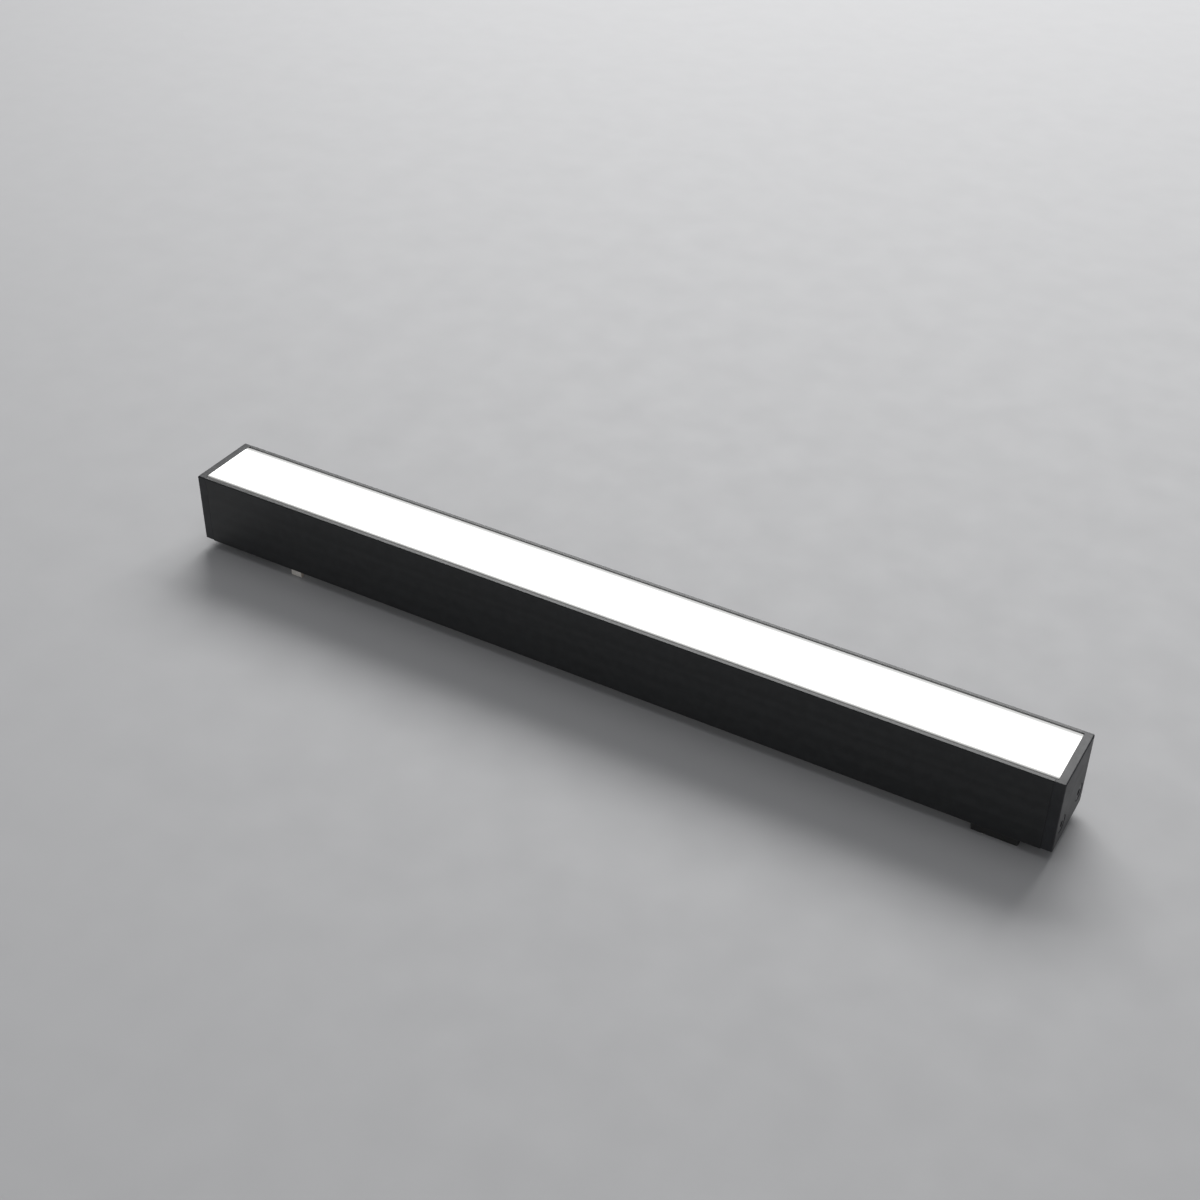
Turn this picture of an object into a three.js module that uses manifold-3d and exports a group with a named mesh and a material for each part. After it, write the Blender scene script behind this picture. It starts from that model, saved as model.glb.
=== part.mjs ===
// A slim linear light bar that clips to a magnetic low-voltage track: an extruded housing with a
// snap-in opal diffuser, an LED board and its driver inside, and magnets, sprung contacts and
// sliding locks on its back. It lies on its back, diffuser up. Millimetres, +Z up, +X along the bar,
// origin at the middle of the resting plane.
import * as THREE from 'three';
import { mergeVertices } from 'three/addons/utils/BufferGeometryUtils.js';
import Module from 'manifold-3d';

const wasm = await Module();
wasm.setup();

// ---------------------------------------------------------------- driving dimensions
const LENGTH = 300; // over both end caps
const WIDTH = 25;
const HEIGHT = 25; // of the housing alone
const LIFT = 3.2; // what stands out below the housing
const GAP = 0.15; // assembly clearance between neighbours
const SLIM_GAP = 0.05; // between two faces that rest on each other

// housing section, heights measured from the housing's underside
const RIM = 1.25; // wall beside the diffuser
const WALL = 1.1; // wall beside the driver
const LIP = 0.9; // the lip that the diffuser snaps under
const LEDGE_DROP = 0.8; // lip top below the rim
const LIP_THICK = 1.4;
const SHELF_LOW = 13;
const SHELF_THICK = 1.4;
const RAIL = 1.2; // how far the cover rails reach inwards
const COVER_LOW = 1.15;
const COVER_THICK = 1.3;
const RAIL_THICK = 0.75;
const EDGE_CHAMFER = 0.25;
const PORT_Y = 7.5; // screw port and end cap screw, from the middle
const PORT_HEIGHT = 7.2;
const PORT_OUTER = 2.2;
const PORT_HOLE = 1.45;
const PORT_WEB = 1.2; // thickness of the web that joins a port to the wall
const PORT_SLIT = 1; // opening along a port, as extruded ports have

// diffuser section
const COVER_FLANGE = 0.3; // how far its top reaches over the lips
const COVER_SKIN = 1.4;
const COVER_LEG = 1.2;
const BARB = 0.6; // how far a barb reaches under the lip
const BARB_HIGH = 1.6;

// end caps
const CAP_PLATE = 2.6;
const CAP_SHOULDER = 0.8;
const CAP_ROUND = 0.4;
const CAP_RISE = 0.2; // the cap's lower edge above the housing's
const CAP_SEAT = 11.1; // half width of the plate's seat for the diffuser's end
const LUG = { long: 2, half: 4.4, low: 5.6, high: SHELF_LOW - 0.4 };
const CAP_BORE = { head: 2.85, shank: 1.5, rim: 0.3, deep: 6 };
const CAP_SCREW = { head: 2.6, headHigh: 1.45, shank: 1.25, length: 9, socket: 1.15, socketDeep: 1 };
const SUNK = 0.12; // a screw head's depth below the face around it

// contact head
const HEAD_X = -LENGTH / 2 + 37.5;
const HEAD_HALF = 8;
const HEAD_TOP = 9;
const CONTACT_WIDE = 4;
const CONTACT_THICK = 1.4;
const CONTACT_OUT = 11.2; // outer face of a contact, from the middle
const SHOULDER_WIDE = 5.8;
const SHOULDER_DEEP = 3.9;
const SHOULDER_LOW = 2.25;
const SHOULDER_THICK = 1.2;
const POCKET_LOW = 2.1;
const NOSE_ROUND = 0.45;
const TONGUE = 2; // how far the head's locating tongues reach along the bar
const TERMINAL_LOW = 8;
const TERMINAL_THICK = 0.6;
const TAG = { half: 1, thick: 0.5, high: 2.8 };
const SPRING_RADIUS = 1.4; // to the middle of the wire
const WIRE_RADIUS = 0.2;
const SPRING_TURNS = 4.5;

// magnets and locks
const MAGNET_X = LENGTH / 2 - 16.4; // middle of each magnet, from the middle of the bar
const MAGNET = { x: 11, y: 10, z: 2.7 };
const HOLDER = { x: 20, y: 12, round: 1 };
const HOLDER_SCREW_X = 7.8;
const HOLDER_BORE = { head: 1.95, shank: 1.1, rim: 0.35, deep: 6 };
const HOLDER_SCREW = { head: 1.85, headHigh: 1.1, shank: 0.95, length: 7.4, socket: 0.85, socketDeep: 0.7 };
const BOSS = { radius: 2, high: 3.2, hole: 1.1 };
const MAGNET_EDGE = 0.3;
const LOCK_X = LENGTH / 2 - 16.9;
const LOCK = { x: 14.2, outer: 11.3, inner: 6.3, round: 0.5 };
const LOCK_NECK = { x: 8, deep: 1.6 };
const LOCK_FLANGE = { x: 11, deep: 3.1, thick: 0.9 };
const LOCK_TRAVEL = 2.2;
const GRIP = { count: 3, half: 5.5, first: 1.1, pitch: 1.2, wide: 0.5, deep: 0.55 };

// electronics
const BOARD_LOW = 3.5;
const BOARD_THICK = 1;
const BOARD_FROM = -96;
const BOARD_TO = 42;
const LED_BOARD_HALF = LENGTH / 2 - 4.5;
const LED_BOARD_WIDE = 18;
const LED_BOARD_THICK = 1;
const LEAD_RADIUS = 0.55;
const CAPACITOR = { radius: 3.6, length: 13, seal: 0.4 };
const DRUM = { flange: 4.6, waist: 3.9, high: 5.4, flangeHigh: 1.2 };
const CONNECTOR = { long: 6, wide: 6.4, tall: 4.5, mouthDeep: 1.2, wall: 0.8 };
const PACKAGE_EDGE = 0.2;
const CHIP = [5, 4, 1.6];
const DIODE = [6.8, 5.8, 2.3];
const LEAD_HOLE = { from: 50.5, to: 55.5, near: 4, far: 8.2 };

const HALF_LENGTH = LENGTH / 2;
const HALF_WIDTH = WIDTH / 2;
const PROFILE_HALF = HALF_LENGTH - CAP_PLATE - CAP_SHOULDER;
const INNER_Y = HALF_WIDTH - WALL;
const RAIL_Y = INNER_Y - RAIL;
const SHELF_TOP = SHELF_LOW + SHELF_THICK;
const COVER_HIGH = COVER_LOW + COVER_THICK;
const BOARD_TOP = BOARD_LOW + BOARD_THICK;
const RIM_Y = HALF_WIDTH - RIM;
const LIP_Y = RIM_Y - LIP;
const LEDGE = HEIGHT - LEDGE_DROP;
const INPUT_X = BOARD_FROM + 6;
const OUTPUT_X = BOARD_TO - 6;
const LEAD_HEIGHT = BOARD_TOP + 2.6;
const PIN_PITCH = 1.3;

const SIDES = [
  { name: 'front', sign: -1 },
  { name: 'rear', sign: 1 },
];
const ENDS = [
  { name: 'left', sign: -1 },
  { name: 'right', sign: 1 },
];

// ---------------------------------------------------------------- helpers
const part = new THREE.Group();

function addPiece(name, geometry, [color, roughness, metalness]) {
  const mesh = new THREE.Mesh(geometry, new THREE.MeshStandardMaterial({ color, roughness, metalness }));
  mesh.name = name;
  part.add(mesh);
}

// finishes: colour, roughness, metalness
const ANODISED = [0x1f2022, 0.55, 0.6];
const BLACK_PLASTIC = [0x1b1c1f, 0.5, 0];
const OPAL = [0xf6f7f5, 0.45, 0];
const BLACK_SCREW = [0x2a2b2d, 0.4, 0.9];
const NICKEL = [0xc9c4b8, 0.28, 1];
const SPRING_STEEL = [0xa8a9aa, 0.3, 1];
const BRASS = [0xb99a54, 0.3, 1];
const BOARD_WHITE = [0xe9e9e4, 0.6, 0];
const BOARD_GREEN = [0x1f5a35, 0.5, 0];
const CAPACITOR_SLEEVE = [0x2c3440, 0.35, 0];
const FERRITE = [0x3a3a3b, 0.8, 0.2];
const CHIP_BLACK = [0x161617, 0.55, 0];
const CONNECTOR_WHITE = [0xe6e2d4, 0.5, 0];
const LEAD_RED = [0x9c2320, 0.5, 0];
const LEAD_BLACK = [0x1a1a1a, 0.5, 0];

// a box given by its two ends along each axis, with heights from the housing's underside
function box([x0, x1], [y0, y1], [h0, h1]) {
  const geometry = new THREE.BoxGeometry(Math.abs(x1 - x0), Math.abs(y1 - y0), h1 - h0);
  return geometry.translate((x0 + x1) / 2, (y0 + y1) / 2, LIFT + (h0 + h1) / 2);
}

// a closed outline of [y, height] points, drawn out along X
function runAlongX(points, from, to) {
  const shape = new THREE.Shape(points.map(([y, height]) => new THREE.Vector2(y, LIFT + height)));
  const geometry = new THREE.ExtrudeGeometry(shape, { depth: to - from, bevelEnabled: false });
  const yzx = new THREE.Matrix4().makeBasis(
    new THREE.Vector3(0, 1, 0),
    new THREE.Vector3(0, 0, 1),
    new THREE.Vector3(1, 0, 0),
  );
  return geometry.applyMatrix4(yzx).translate(from, 0, 0);
}

// the right half of a symmetric outline, from the middle outwards and back, with its mirror image
function mirrored(half) {
  const other = half.filter(([y]) => y > 0).map(([y, height]) => [-y, height]);
  return [...half, ...other.reverse()];
}

function roundedRectangle(wide, deep, radius) {
  const shape = new THREE.Shape();
  const x = wide / 2 - radius;
  const y = deep / 2 - radius;
  shape.absarc(x, y, radius, 0, Math.PI / 2);
  shape.absarc(-x, y, radius, Math.PI / 2, Math.PI);
  shape.absarc(-x, -y, radius, Math.PI, Math.PI * 1.5);
  shape.absarc(x, -y, radius, Math.PI * 1.5, Math.PI * 2);
  return shape;
}

// a block with rounded upright edges, between two heights
function roundedBlock(x, y, { wide, deep, radius }, [h0, h1]) {
  const shape = roundedRectangle(wide, deep, radius);
  const settings = { depth: h1 - h0, bevelEnabled: false, curveSegments: 5 };
  return new THREE.ExtrudeGeometry(shape, settings).translate(x, y, LIFT + h0);
}

// a turned piece standing on +Z: its profile is [radius, height] points from axis to axis
function turned(profile, segments) {
  const points = profile.map(([radius, height]) => new THREE.Vector2(radius, height));
  return new THREE.LatheGeometry(points, segments).rotateX(Math.PI / 2);
}

function rod(radius, length, segments = 24) {
  return turned([[0, 0], [radius, 0], [radius, length], [0, length]], segments);
}

// lay a piece that stands on +Z along +X or -X
function layAlongX(geometry, sign) {
  return geometry.rotateY((sign * Math.PI) / 2);
}

// a piece of the rear side as it stands, or turned half round about the upright at x for the front
function forSide(sign, x, geometry) {
  return sign > 0 ? geometry : geometry.translate(-x, 0, 0).rotateZ(Math.PI).translate(x, 0, 0);
}

// the cutter for a countersunk bore, its mouth at the origin and its depth along +Z
function countersunkBore({ head, shank, rim, deep }, segments) {
  const coneEnd = rim + head - shank;
  const over = 0.1;
  const profile = [[0, -over], [head, -over], [head, rim], [shank, coneEnd], [shank, deep], [0, deep]];
  return turned(profile, segments);
}

function toSolid(geometry) {
  const bare = geometry.clone();
  bare.deleteAttribute('normal');
  bare.deleteAttribute('uv');
  const merged = mergeVertices(bare, 1e-4);
  const vertProperties = new Float32Array(merged.attributes.position.array);
  const triVerts = new Uint32Array(merged.index.array);
  return new wasm.Manifold(new wasm.Mesh({ numProp: 3, vertProperties, triVerts }));
}

function toGeometry(solid) {
  const { vertProperties, triVerts } = solid.getMesh();
  const geometry = new THREE.BufferGeometry();
  geometry.setAttribute('position', new THREE.BufferAttribute(vertProperties, 3));
  geometry.setIndex(new THREE.BufferAttribute(triVerts, 1));
  geometry.computeVertexNormals();
  return geometry;
}

// first piece with others joined to it, then the cutters taken away
function shaped({ join, cut = [] }) {
  let solid = toSolid(join[0]);
  for (const geometry of join.slice(1)) {
    solid = solid.add(toSolid(geometry));
  }
  for (const geometry of cut) {
    solid = solid.subtract(toSolid(geometry));
  }
  return toGeometry(solid);
}

class Helix extends THREE.Curve {
  constructor(centre, radius, low, high, turns) {
    super();
    Object.assign(this, { centre, radius, low, high, turns });
  }

  getPoint(t, target = new THREE.Vector3()) {
    const angle = t * this.turns * Math.PI * 2;
    return target.set(
      this.centre.x + this.radius * Math.cos(angle),
      this.centre.y + this.radius * Math.sin(angle),
      THREE.MathUtils.lerp(this.low, this.high, t),
    );
  }
}

function tubeAlong(curve, radius, sides, steps) {
  const circle = new THREE.Shape();
  circle.absarc(0, 0, radius, 0, Math.PI * 2);
  const section = new THREE.Shape(circle.getPoints(sides).slice(0, sides));
  return new THREE.ExtrudeGeometry(section, { extrudePath: curve, steps, bevelEnabled: false });
}

// ---------------------------------------------------------------- housing and covers
function screwPort(sign) {
  const from = -PROFILE_HALF;
  const ring = layAlongX(rod(PORT_OUTER, 2 * PROFILE_HALF), 1);
  ring.translate(from, sign * PORT_Y, LIFT + PORT_HEIGHT);
  const webY = [sign * (PORT_Y + PORT_HOLE + 0.2), sign * (INNER_Y + WALL / 2)];
  const web = box([from, PROFILE_HALF], webY, [PORT_HEIGHT - PORT_WEB / 2, PORT_HEIGHT + PORT_WEB / 2]);
  return [ring, web];
}

function screwPortCuts(sign) {
  const length = 2 * PROFILE_HALF + 2;
  const bore = layAlongX(rod(PORT_HOLE, length), 1);
  bore.translate(-length / 2, sign * PORT_Y, LIFT + PORT_HEIGHT);
  const slitY = [sign * (PORT_Y - PORT_OUTER - 0.5), sign * (PORT_Y - PORT_HOLE + 0.3)];
  const slitHeights = [PORT_HEIGHT - PORT_SLIT / 2, PORT_HEIGHT + PORT_SLIT / 2];
  const slit = box([-length / 2, length / 2], slitY, slitHeights);
  return [bore, slit];
}

function housingProfile() {
  const railLow = COVER_HIGH + GAP;
  const lipTop = COVER_LOW - GAP;
  const outline = mirrored([
    [0, SHELF_LOW],
    [INNER_Y, SHELF_LOW],
    [INNER_Y, railLow + RAIL_THICK],
    [RAIL_Y, railLow + RAIL_THICK],
    [RAIL_Y, railLow],
    [INNER_Y, railLow],
    [INNER_Y, lipTop],
    [RAIL_Y, lipTop],
    [RAIL_Y, 0],
    [HALF_WIDTH - EDGE_CHAMFER, 0],
    [HALF_WIDTH, EDGE_CHAMFER],
    [HALF_WIDTH, HEIGHT - EDGE_CHAMFER],
    [HALF_WIDTH - EDGE_CHAMFER, HEIGHT],
    [RIM_Y, HEIGHT],
    [RIM_Y, LEDGE],
    [LIP_Y, LEDGE],
    [LIP_Y, LEDGE - LIP_THICK],
    [RIM_Y, LEDGE - LIP_THICK],
    [RIM_Y, SHELF_TOP],
    [0, SHELF_TOP],
  ]);
  const pocketHalf = HEAD_HALF + 2 * GAP;
  const headPocket = box(
    [HEAD_X - pocketHalf, HEAD_X + pocketHalf],
    [-INNER_Y, INNER_Y],
    [-1, PORT_HEIGHT + PORT_OUTER + 0.3],
  );
  const leadHole = box(
    [LEAD_HOLE.from, LEAD_HOLE.to],
    [LEAD_HOLE.near, LEAD_HOLE.far],
    [SHELF_LOW - 1, SHELF_TOP + 1],
  );
  return shaped({
    join: [runAlongX(outline, -PROFILE_HALF, PROFILE_HALF), ...screwPort(-1), ...screwPort(1)],
    cut: [...screwPortCuts(-1), ...screwPortCuts(1), headPocket, leadHole],
  });
}

// a shallow cover whose flanges lie on the lips and whose barbs snap under them
function diffuser() {
  const outer = LIP_Y - GAP;
  const top = HEIGHT - SLIM_GAP;
  const under = top - COVER_SKIN;
  const barbTop = LEDGE - LIP_THICK - GAP;
  const toe = barbTop - BARB_HIGH;
  const flangeLow = LEDGE + GAP;
  const half = HALF_LENGTH - CAP_PLATE - 2 * SLIM_GAP;
  const outline = mirrored([
    [0, under],
    [outer - COVER_LEG, under],
    [outer - COVER_LEG, toe],
    [outer, toe],
    [outer + BARB, barbTop - BARB],
    [outer + BARB, barbTop - BARB / 3],
    [outer, barbTop],
    [outer, flangeLow],
    [LIP_Y + COVER_FLANGE, flangeLow],
    [LIP_Y + COVER_FLANGE, top],
    [0, top],
  ]);
  return runAlongX(outline, -half, half);
}

// a plate in the housing's rails, with a raised boss for each holder screw
function coverStrip(from, to, holderX) {
  const halfWide = INNER_Y - 2 * GAP;
  const plate = box([from, to], [-halfWide, halfWide], [COVER_LOW, COVER_HIGH]);
  const bosses = [-1, 1].map((sign) => {
    const boss = rod(BOSS.radius, BOSS.high);
    return boss.translate(holderX + sign * HOLDER_SCREW_X, 0, LIFT + COVER_HIGH - 0.2);
  });
  const holes = [-1, 1].map((sign) => {
    const hole = rod(BOSS.hole, BOSS.high + COVER_HIGH + 2);
    return hole.translate(holderX + sign * HOLDER_SCREW_X, 0, LIFT - 1);
  });
  return { join: [plate, ...bosses], cut: holes };
}

function backCoverLeft() {
  return shaped(coverStrip(-PROFILE_HALF + SLIM_GAP, HEAD_X - HEAD_HALF - TONGUE - GAP, -MAGNET_X));
}

function backCoverMain() {
  const { join, cut } = coverStrip(HEAD_X + HEAD_HALF + TONGUE + GAP, PROFILE_HALF - SLIM_GAP, MAGNET_X);
  const slots = SIDES.map(({ sign }) => {
    const near = LOCK.inner - GAP;
    const far = LOCK.inner + LOCK_NECK.deep + LOCK_TRAVEL + GAP;
    const half = LOCK_NECK.x / 2 + GAP;
    return box([LOCK_X - half, LOCK_X + half], [sign * near, sign * far], [0, COVER_HIGH + 1]);
  });
  return shaped({ join, cut: [...cut, ...slots] });
}

// ---------------------------------------------------------------- end caps and their screws
function endCap(sign) {
  const face = HALF_LENGTH - CAP_PLATE;
  const inner = face - CAP_SHOULDER + SLIM_GAP;
  const tall = HEIGHT - CAP_RISE;
  const middle = LIFT + CAP_RISE + tall / 2;
  const blankDepth = 10;
  const section = roundedRectangle(tall - 2 * CAP_ROUND, WIDTH - 2 * CAP_ROUND, 0.1);
  const blank = new THREE.ExtrudeGeometry(section, {
    depth: blankDepth - 2 * CAP_ROUND,
    bevelSize: CAP_ROUND,
    bevelThickness: CAP_ROUND,
    bevelSegments: 3,
    curveSegments: 2,
  });
  layAlongX(blank, 1).translate(HALF_LENGTH - blankDepth + CAP_ROUND, 0, middle);
  const lug = box([inner - LUG.long, inner + 0.1], [-LUG.half, LUG.half], [LUG.low, LUG.high]);
  const inwards = box([face - 2 * blankDepth, inner], [-WIDTH, WIDTH], [-HEIGHT, 2 * HEIGHT]);
  const seat = box([inner - 1, face], [-CAP_SEAT, CAP_SEAT], [HEIGHT - 5, HEIGHT + 5]);
  const bores = SIDES.map((side) => {
    const bore = layAlongX(countersunkBore(CAP_BORE, 24), -1);
    return bore.translate(HALF_LENGTH, side.sign * PORT_Y, LIFT + PORT_HEIGHT);
  });
  const trimmed = shaped({ join: [blank], cut: [inwards, seat] });
  const cap = shaped({ join: [trimmed, lug], cut: bores });
  return sign > 0 ? cap : cap.rotateZ(Math.PI);
}

// a countersunk screw with a hexagon socket, its head at the origin and its shank along +Z
function countersunkScrew({ head, headHigh, shank, length, socket, socketDeep }) {
  const rim = 0.15;
  const point = 0.6;
  const body = turned([
    [0, 0],
    [head, 0],
    [head, rim],
    [shank, headHigh],
    [shank, length - point],
    [shank * point, length],
    [0, length],
  ], 24);
  const hexagon = rod(socket, socketDeep + 1, 6).translate(0, 0, -1);
  return shaped({ join: [body], cut: [hexagon] });
}

function capScrew(endSign, sideSign) {
  const screw = layAlongX(countersunkScrew(CAP_SCREW), -endSign);
  return screw.translate(endSign * (HALF_LENGTH - SUNK), sideSign * PORT_Y, LIFT + PORT_HEIGHT);
}

// ---------------------------------------------------------------- contact head
function contactBlock() {
  const along = [HEAD_X - HEAD_HALF, HEAD_X + HEAD_HALF];
  const block = box(along, [-CONTACT_OUT, CONTACT_OUT], [0, HEAD_TOP]);
  const tongueHalf = HEAD_HALF + TONGUE;
  const wide = INNER_Y - 2 * GAP;
  const tongues = box([HEAD_X - tongueHalf, HEAD_X + tongueHalf], [-wide, wide], [COVER_LOW, COVER_HIGH]);
  const beyond = CONTACT_OUT + 1;
  const halfSlot = CONTACT_WIDE / 2 + GAP;
  const slotInner = CONTACT_OUT - CONTACT_THICK - GAP;
  const halfPocket = SHOULDER_WIDE / 2 + 2 * GAP;
  const pocketInner = CONTACT_OUT - SHOULDER_DEEP - 2 * GAP;
  const cuts = SIDES.flatMap(({ sign }) => {
    const slotX = [HEAD_X - halfSlot, HEAD_X + halfSlot];
    const pocketX = [HEAD_X - halfPocket, HEAD_X + halfPocket];
    return [
      box(slotX, [sign * slotInner, sign * beyond], [-1, POCKET_LOW + 1]),
      box(pocketX, [sign * pocketInner, sign * beyond], [POCKET_LOW, HEAD_TOP + 1]),
    ];
  });
  return shaped({ join: [block, tongues], cut: cuts });
}

// a flat tongue with a rounded nose, and the shoulder that its spring presses on
function contact(sign) {
  const nose = SLIM_GAP - LIFT + NOSE_ROUND;
  const inner = CONTACT_OUT - CONTACT_THICK;
  const arcSteps = 4;
  const arc = (centreY, from) => {
    return Array.from({ length: arcSteps + 1 }, (_, i) => {
      const angle = from + (i / arcSteps) * (Math.PI / 2);
      return [centreY + NOSE_ROUND * Math.cos(angle), nose + NOSE_ROUND * Math.sin(angle)];
    });
  };
  const intoShoulder = SHOULDER_LOW + 0.3;
  const outline = [
    ...arc(inner + NOSE_ROUND, Math.PI),
    ...arc(CONTACT_OUT - NOSE_ROUND, Math.PI * 1.5),
    [CONTACT_OUT, intoShoulder],
    [inner, intoShoulder],
  ];
  const tongue = runAlongX(outline, HEAD_X - CONTACT_WIDE / 2, HEAD_X + CONTACT_WIDE / 2);
  const shoulder = box(
    [HEAD_X - SHOULDER_WIDE / 2, HEAD_X + SHOULDER_WIDE / 2],
    [CONTACT_OUT - SHOULDER_DEEP, CONTACT_OUT],
    [SHOULDER_LOW, SHOULDER_LOW + SHOULDER_THICK],
  );
  return forSide(sign, HEAD_X, shaped({ join: [tongue, shoulder] }));
}

function contactSpring(sign) {
  const centre = new THREE.Vector3(HEAD_X, sign * (CONTACT_OUT - SHOULDER_DEEP / 2), 0);
  const low = LIFT + SHOULDER_LOW + SHOULDER_THICK + WIRE_RADIUS + SLIM_GAP;
  const high = LIFT + TERMINAL_LOW - WIRE_RADIUS - SLIM_GAP;
  const helix = new Helix(centre, SPRING_RADIUS, low, high, SPRING_TURNS);
  return tubeAlong(helix, WIRE_RADIUS, 6, 12 * SPRING_TURNS);
}

// the plate that backs the spring, with an upright tag for its lead
function contactTerminal(sign) {
  const half = SHOULDER_WIDE / 2 + GAP;
  const inner = CONTACT_OUT - SHOULDER_DEEP - GAP;
  const top = TERMINAL_LOW + TERMINAL_THICK;
  const plate = box([HEAD_X - half, HEAD_X + half], [inner, CONTACT_OUT - GAP], [TERMINAL_LOW, top]);
  const tag = box(
    [HEAD_X - TAG.half, HEAD_X + TAG.half],
    [inner, inner + TAG.thick],
    [top - 0.1, TERMINAL_LOW + TAG.high],
  );
  return forSide(sign, HEAD_X, shaped({ join: [plate, tag] }));
}

// ---------------------------------------------------------------- magnets and locks
function magnetHolder(sign) {
  const x = sign * MAGNET_X;
  const outline = { wide: HOLDER.x, deep: HOLDER.y, radius: HOLDER.round };
  const body = roundedBlock(x, 0, outline, [GAP - LIFT, COVER_LOW - SLIM_GAP]);
  const halfX = MAGNET.x / 2 + GAP;
  const halfY = MAGNET.y / 2 + GAP;
  const pocket = box([x - halfX, x + halfX], [-halfY, halfY], [-LIFT - 1, MAGNET.z - LIFT + SLIM_GAP]);
  const bores = ENDS.map((along) => {
    return countersunkBore(HOLDER_BORE, 20).translate(x + along.sign * HOLDER_SCREW_X, 0, GAP);
  });
  return shaped({ join: [body], cut: [pocket, ...bores] });
}

function magnet(sign) {
  const edges = 2 * MAGNET_EDGE;
  const geometry = new THREE.ExtrudeGeometry(roundedRectangle(MAGNET.x - edges, MAGNET.y - edges, 0.2), {
    depth: MAGNET.z - edges,
    bevelSize: MAGNET_EDGE,
    bevelThickness: MAGNET_EDGE,
    bevelSegments: 2,
    curveSegments: 2,
  });
  return geometry.translate(sign * MAGNET_X, 0, MAGNET_EDGE);
}

function holderScrew(endSign, alongSign) {
  const x = endSign * MAGNET_X + alongSign * HOLDER_SCREW_X;
  return countersunkScrew(HOLDER_SCREW).translate(x, 0, GAP + SUNK);
}

// a block under the housing that slides out sideways, held by a flange above the cover
function lockSlider(sign) {
  const outline = { wide: LOCK.x, deep: LOCK.outer - LOCK.inner, radius: LOCK.round };
  const body = roundedBlock(LOCK_X, (LOCK.outer + LOCK.inner) / 2, outline, [2 * SLIM_GAP - LIFT, -GAP]);
  const neckFar = LOCK.inner + LOCK_NECK.deep;
  const flangeLow = COVER_HIGH + GAP;
  const neck = box(
    [LOCK_X - LOCK_NECK.x / 2, LOCK_X + LOCK_NECK.x / 2],
    [LOCK.inner, neckFar],
    [-0.5, flangeLow + 0.3],
  );
  const flange = box(
    [LOCK_X - LOCK_FLANGE.x / 2, LOCK_X + LOCK_FLANGE.x / 2],
    [neckFar - LOCK_FLANGE.deep, neckFar],
    [flangeLow, flangeLow + LOCK_FLANGE.thick],
  );
  const grips = Array.from({ length: GRIP.count }, (_, i) => {
    const near = LOCK.inner + GRIP.first + i * GRIP.pitch;
    const along = [LOCK_X - GRIP.half, LOCK_X + GRIP.half];
    return box(along, [near, near + GRIP.wide], [-LIFT - 1, -LIFT + GRIP.deep]);
  });
  return forSide(sign, LOCK_X, shaped({ join: [body, neck, flange], cut: grips }));
}

// ---------------------------------------------------------------- electronics
function ledBoard() {
  const halfWide = LED_BOARD_WIDE / 2;
  const low = SHELF_TOP + SLIM_GAP;
  const board = box([-LED_BOARD_HALF, LED_BOARD_HALF], [-halfWide, halfWide], [low, low + LED_BOARD_THICK]);
  const hole = box([LEAD_HOLE.from, LEAD_HOLE.to], [LEAD_HOLE.near, LEAD_HOLE.far], [low - 1, low + 3]);
  return shaped({ join: [board], cut: [hole] });
}

function driverBoard() {
  const halfWide = INNER_Y - 2 * GAP;
  return box([BOARD_FROM, BOARD_TO], [-halfWide, halfWide], [BOARD_LOW, BOARD_TOP]);
}

function onBoard(geometry, x) {
  return geometry.translate(x, 0, LIFT + BOARD_TOP + SLIM_GAP);
}

function lyingCapacitor(x) {
  const { radius, length, seal } = CAPACITOR;
  const can = turned([
    [0, 0],
    [radius - seal, 0],
    [radius, seal],
    [radius, length - 4.5 * seal],
    [radius - seal, length - 3.5 * seal],
    [radius, length - 2.5 * seal],
    [radius - seal, length],
    [0, length],
  ], 28);
  return onBoard(layAlongX(can, 1).translate(-length / 2, 0, radius), x);
}

// a drum core: two flanges with a waist between them for the winding
function inductor(x) {
  const { flange, waist, high, flangeHigh } = DRUM;
  const edge = 0.2;
  const drum = turned([
    [0, 0],
    [flange, 0],
    [flange, flangeHigh - edge],
    [waist, flangeHigh],
    [waist, high - flangeHigh],
    [flange, high - flangeHigh + edge],
    [flange, high],
    [0, high],
  ], 32);
  return onBoard(drum, x);
}

function connector(x, mouth) {
  const { long, wide, tall, mouthDeep, wall } = CONNECTOR;
  const base = BOARD_TOP + SLIM_GAP;
  const shell = box([x - long / 2, x + long / 2], [-wide / 2, wide / 2], [base, base + tall]);
  const socket = box(
    [x + mouth * (long / 2 - mouthDeep), x + mouth * (long / 2 + 1)],
    [wall - wide / 2, wide / 2 - wall],
    [base + wall + 0.2, base + tall - wall + 0.2],
  );
  return shaped({ join: [shell], cut: [socket] });
}

function smallPackage(x, [long, wide, tall]) {
  const edges = 2 * PACKAGE_EDGE;
  const geometry = new THREE.ExtrudeGeometry(roundedRectangle(long - edges, wide - edges, 0.15), {
    depth: tall - edges,
    bevelSize: PACKAGE_EDGE,
    bevelThickness: PACKAGE_EDGE,
    bevelSegments: 1,
    curveSegments: 2,
  });
  return onBoard(geometry.translate(0, 0, PACKAGE_EDGE), x);
}

function lead(points) {
  const places = points.map(([x, y, height]) => new THREE.Vector3(x, y, LIFT + height));
  const curve = new THREE.CatmullRomCurve3(places);
  return tubeAlong(curve, LEAD_RADIUS, 8, 30);
}

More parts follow.
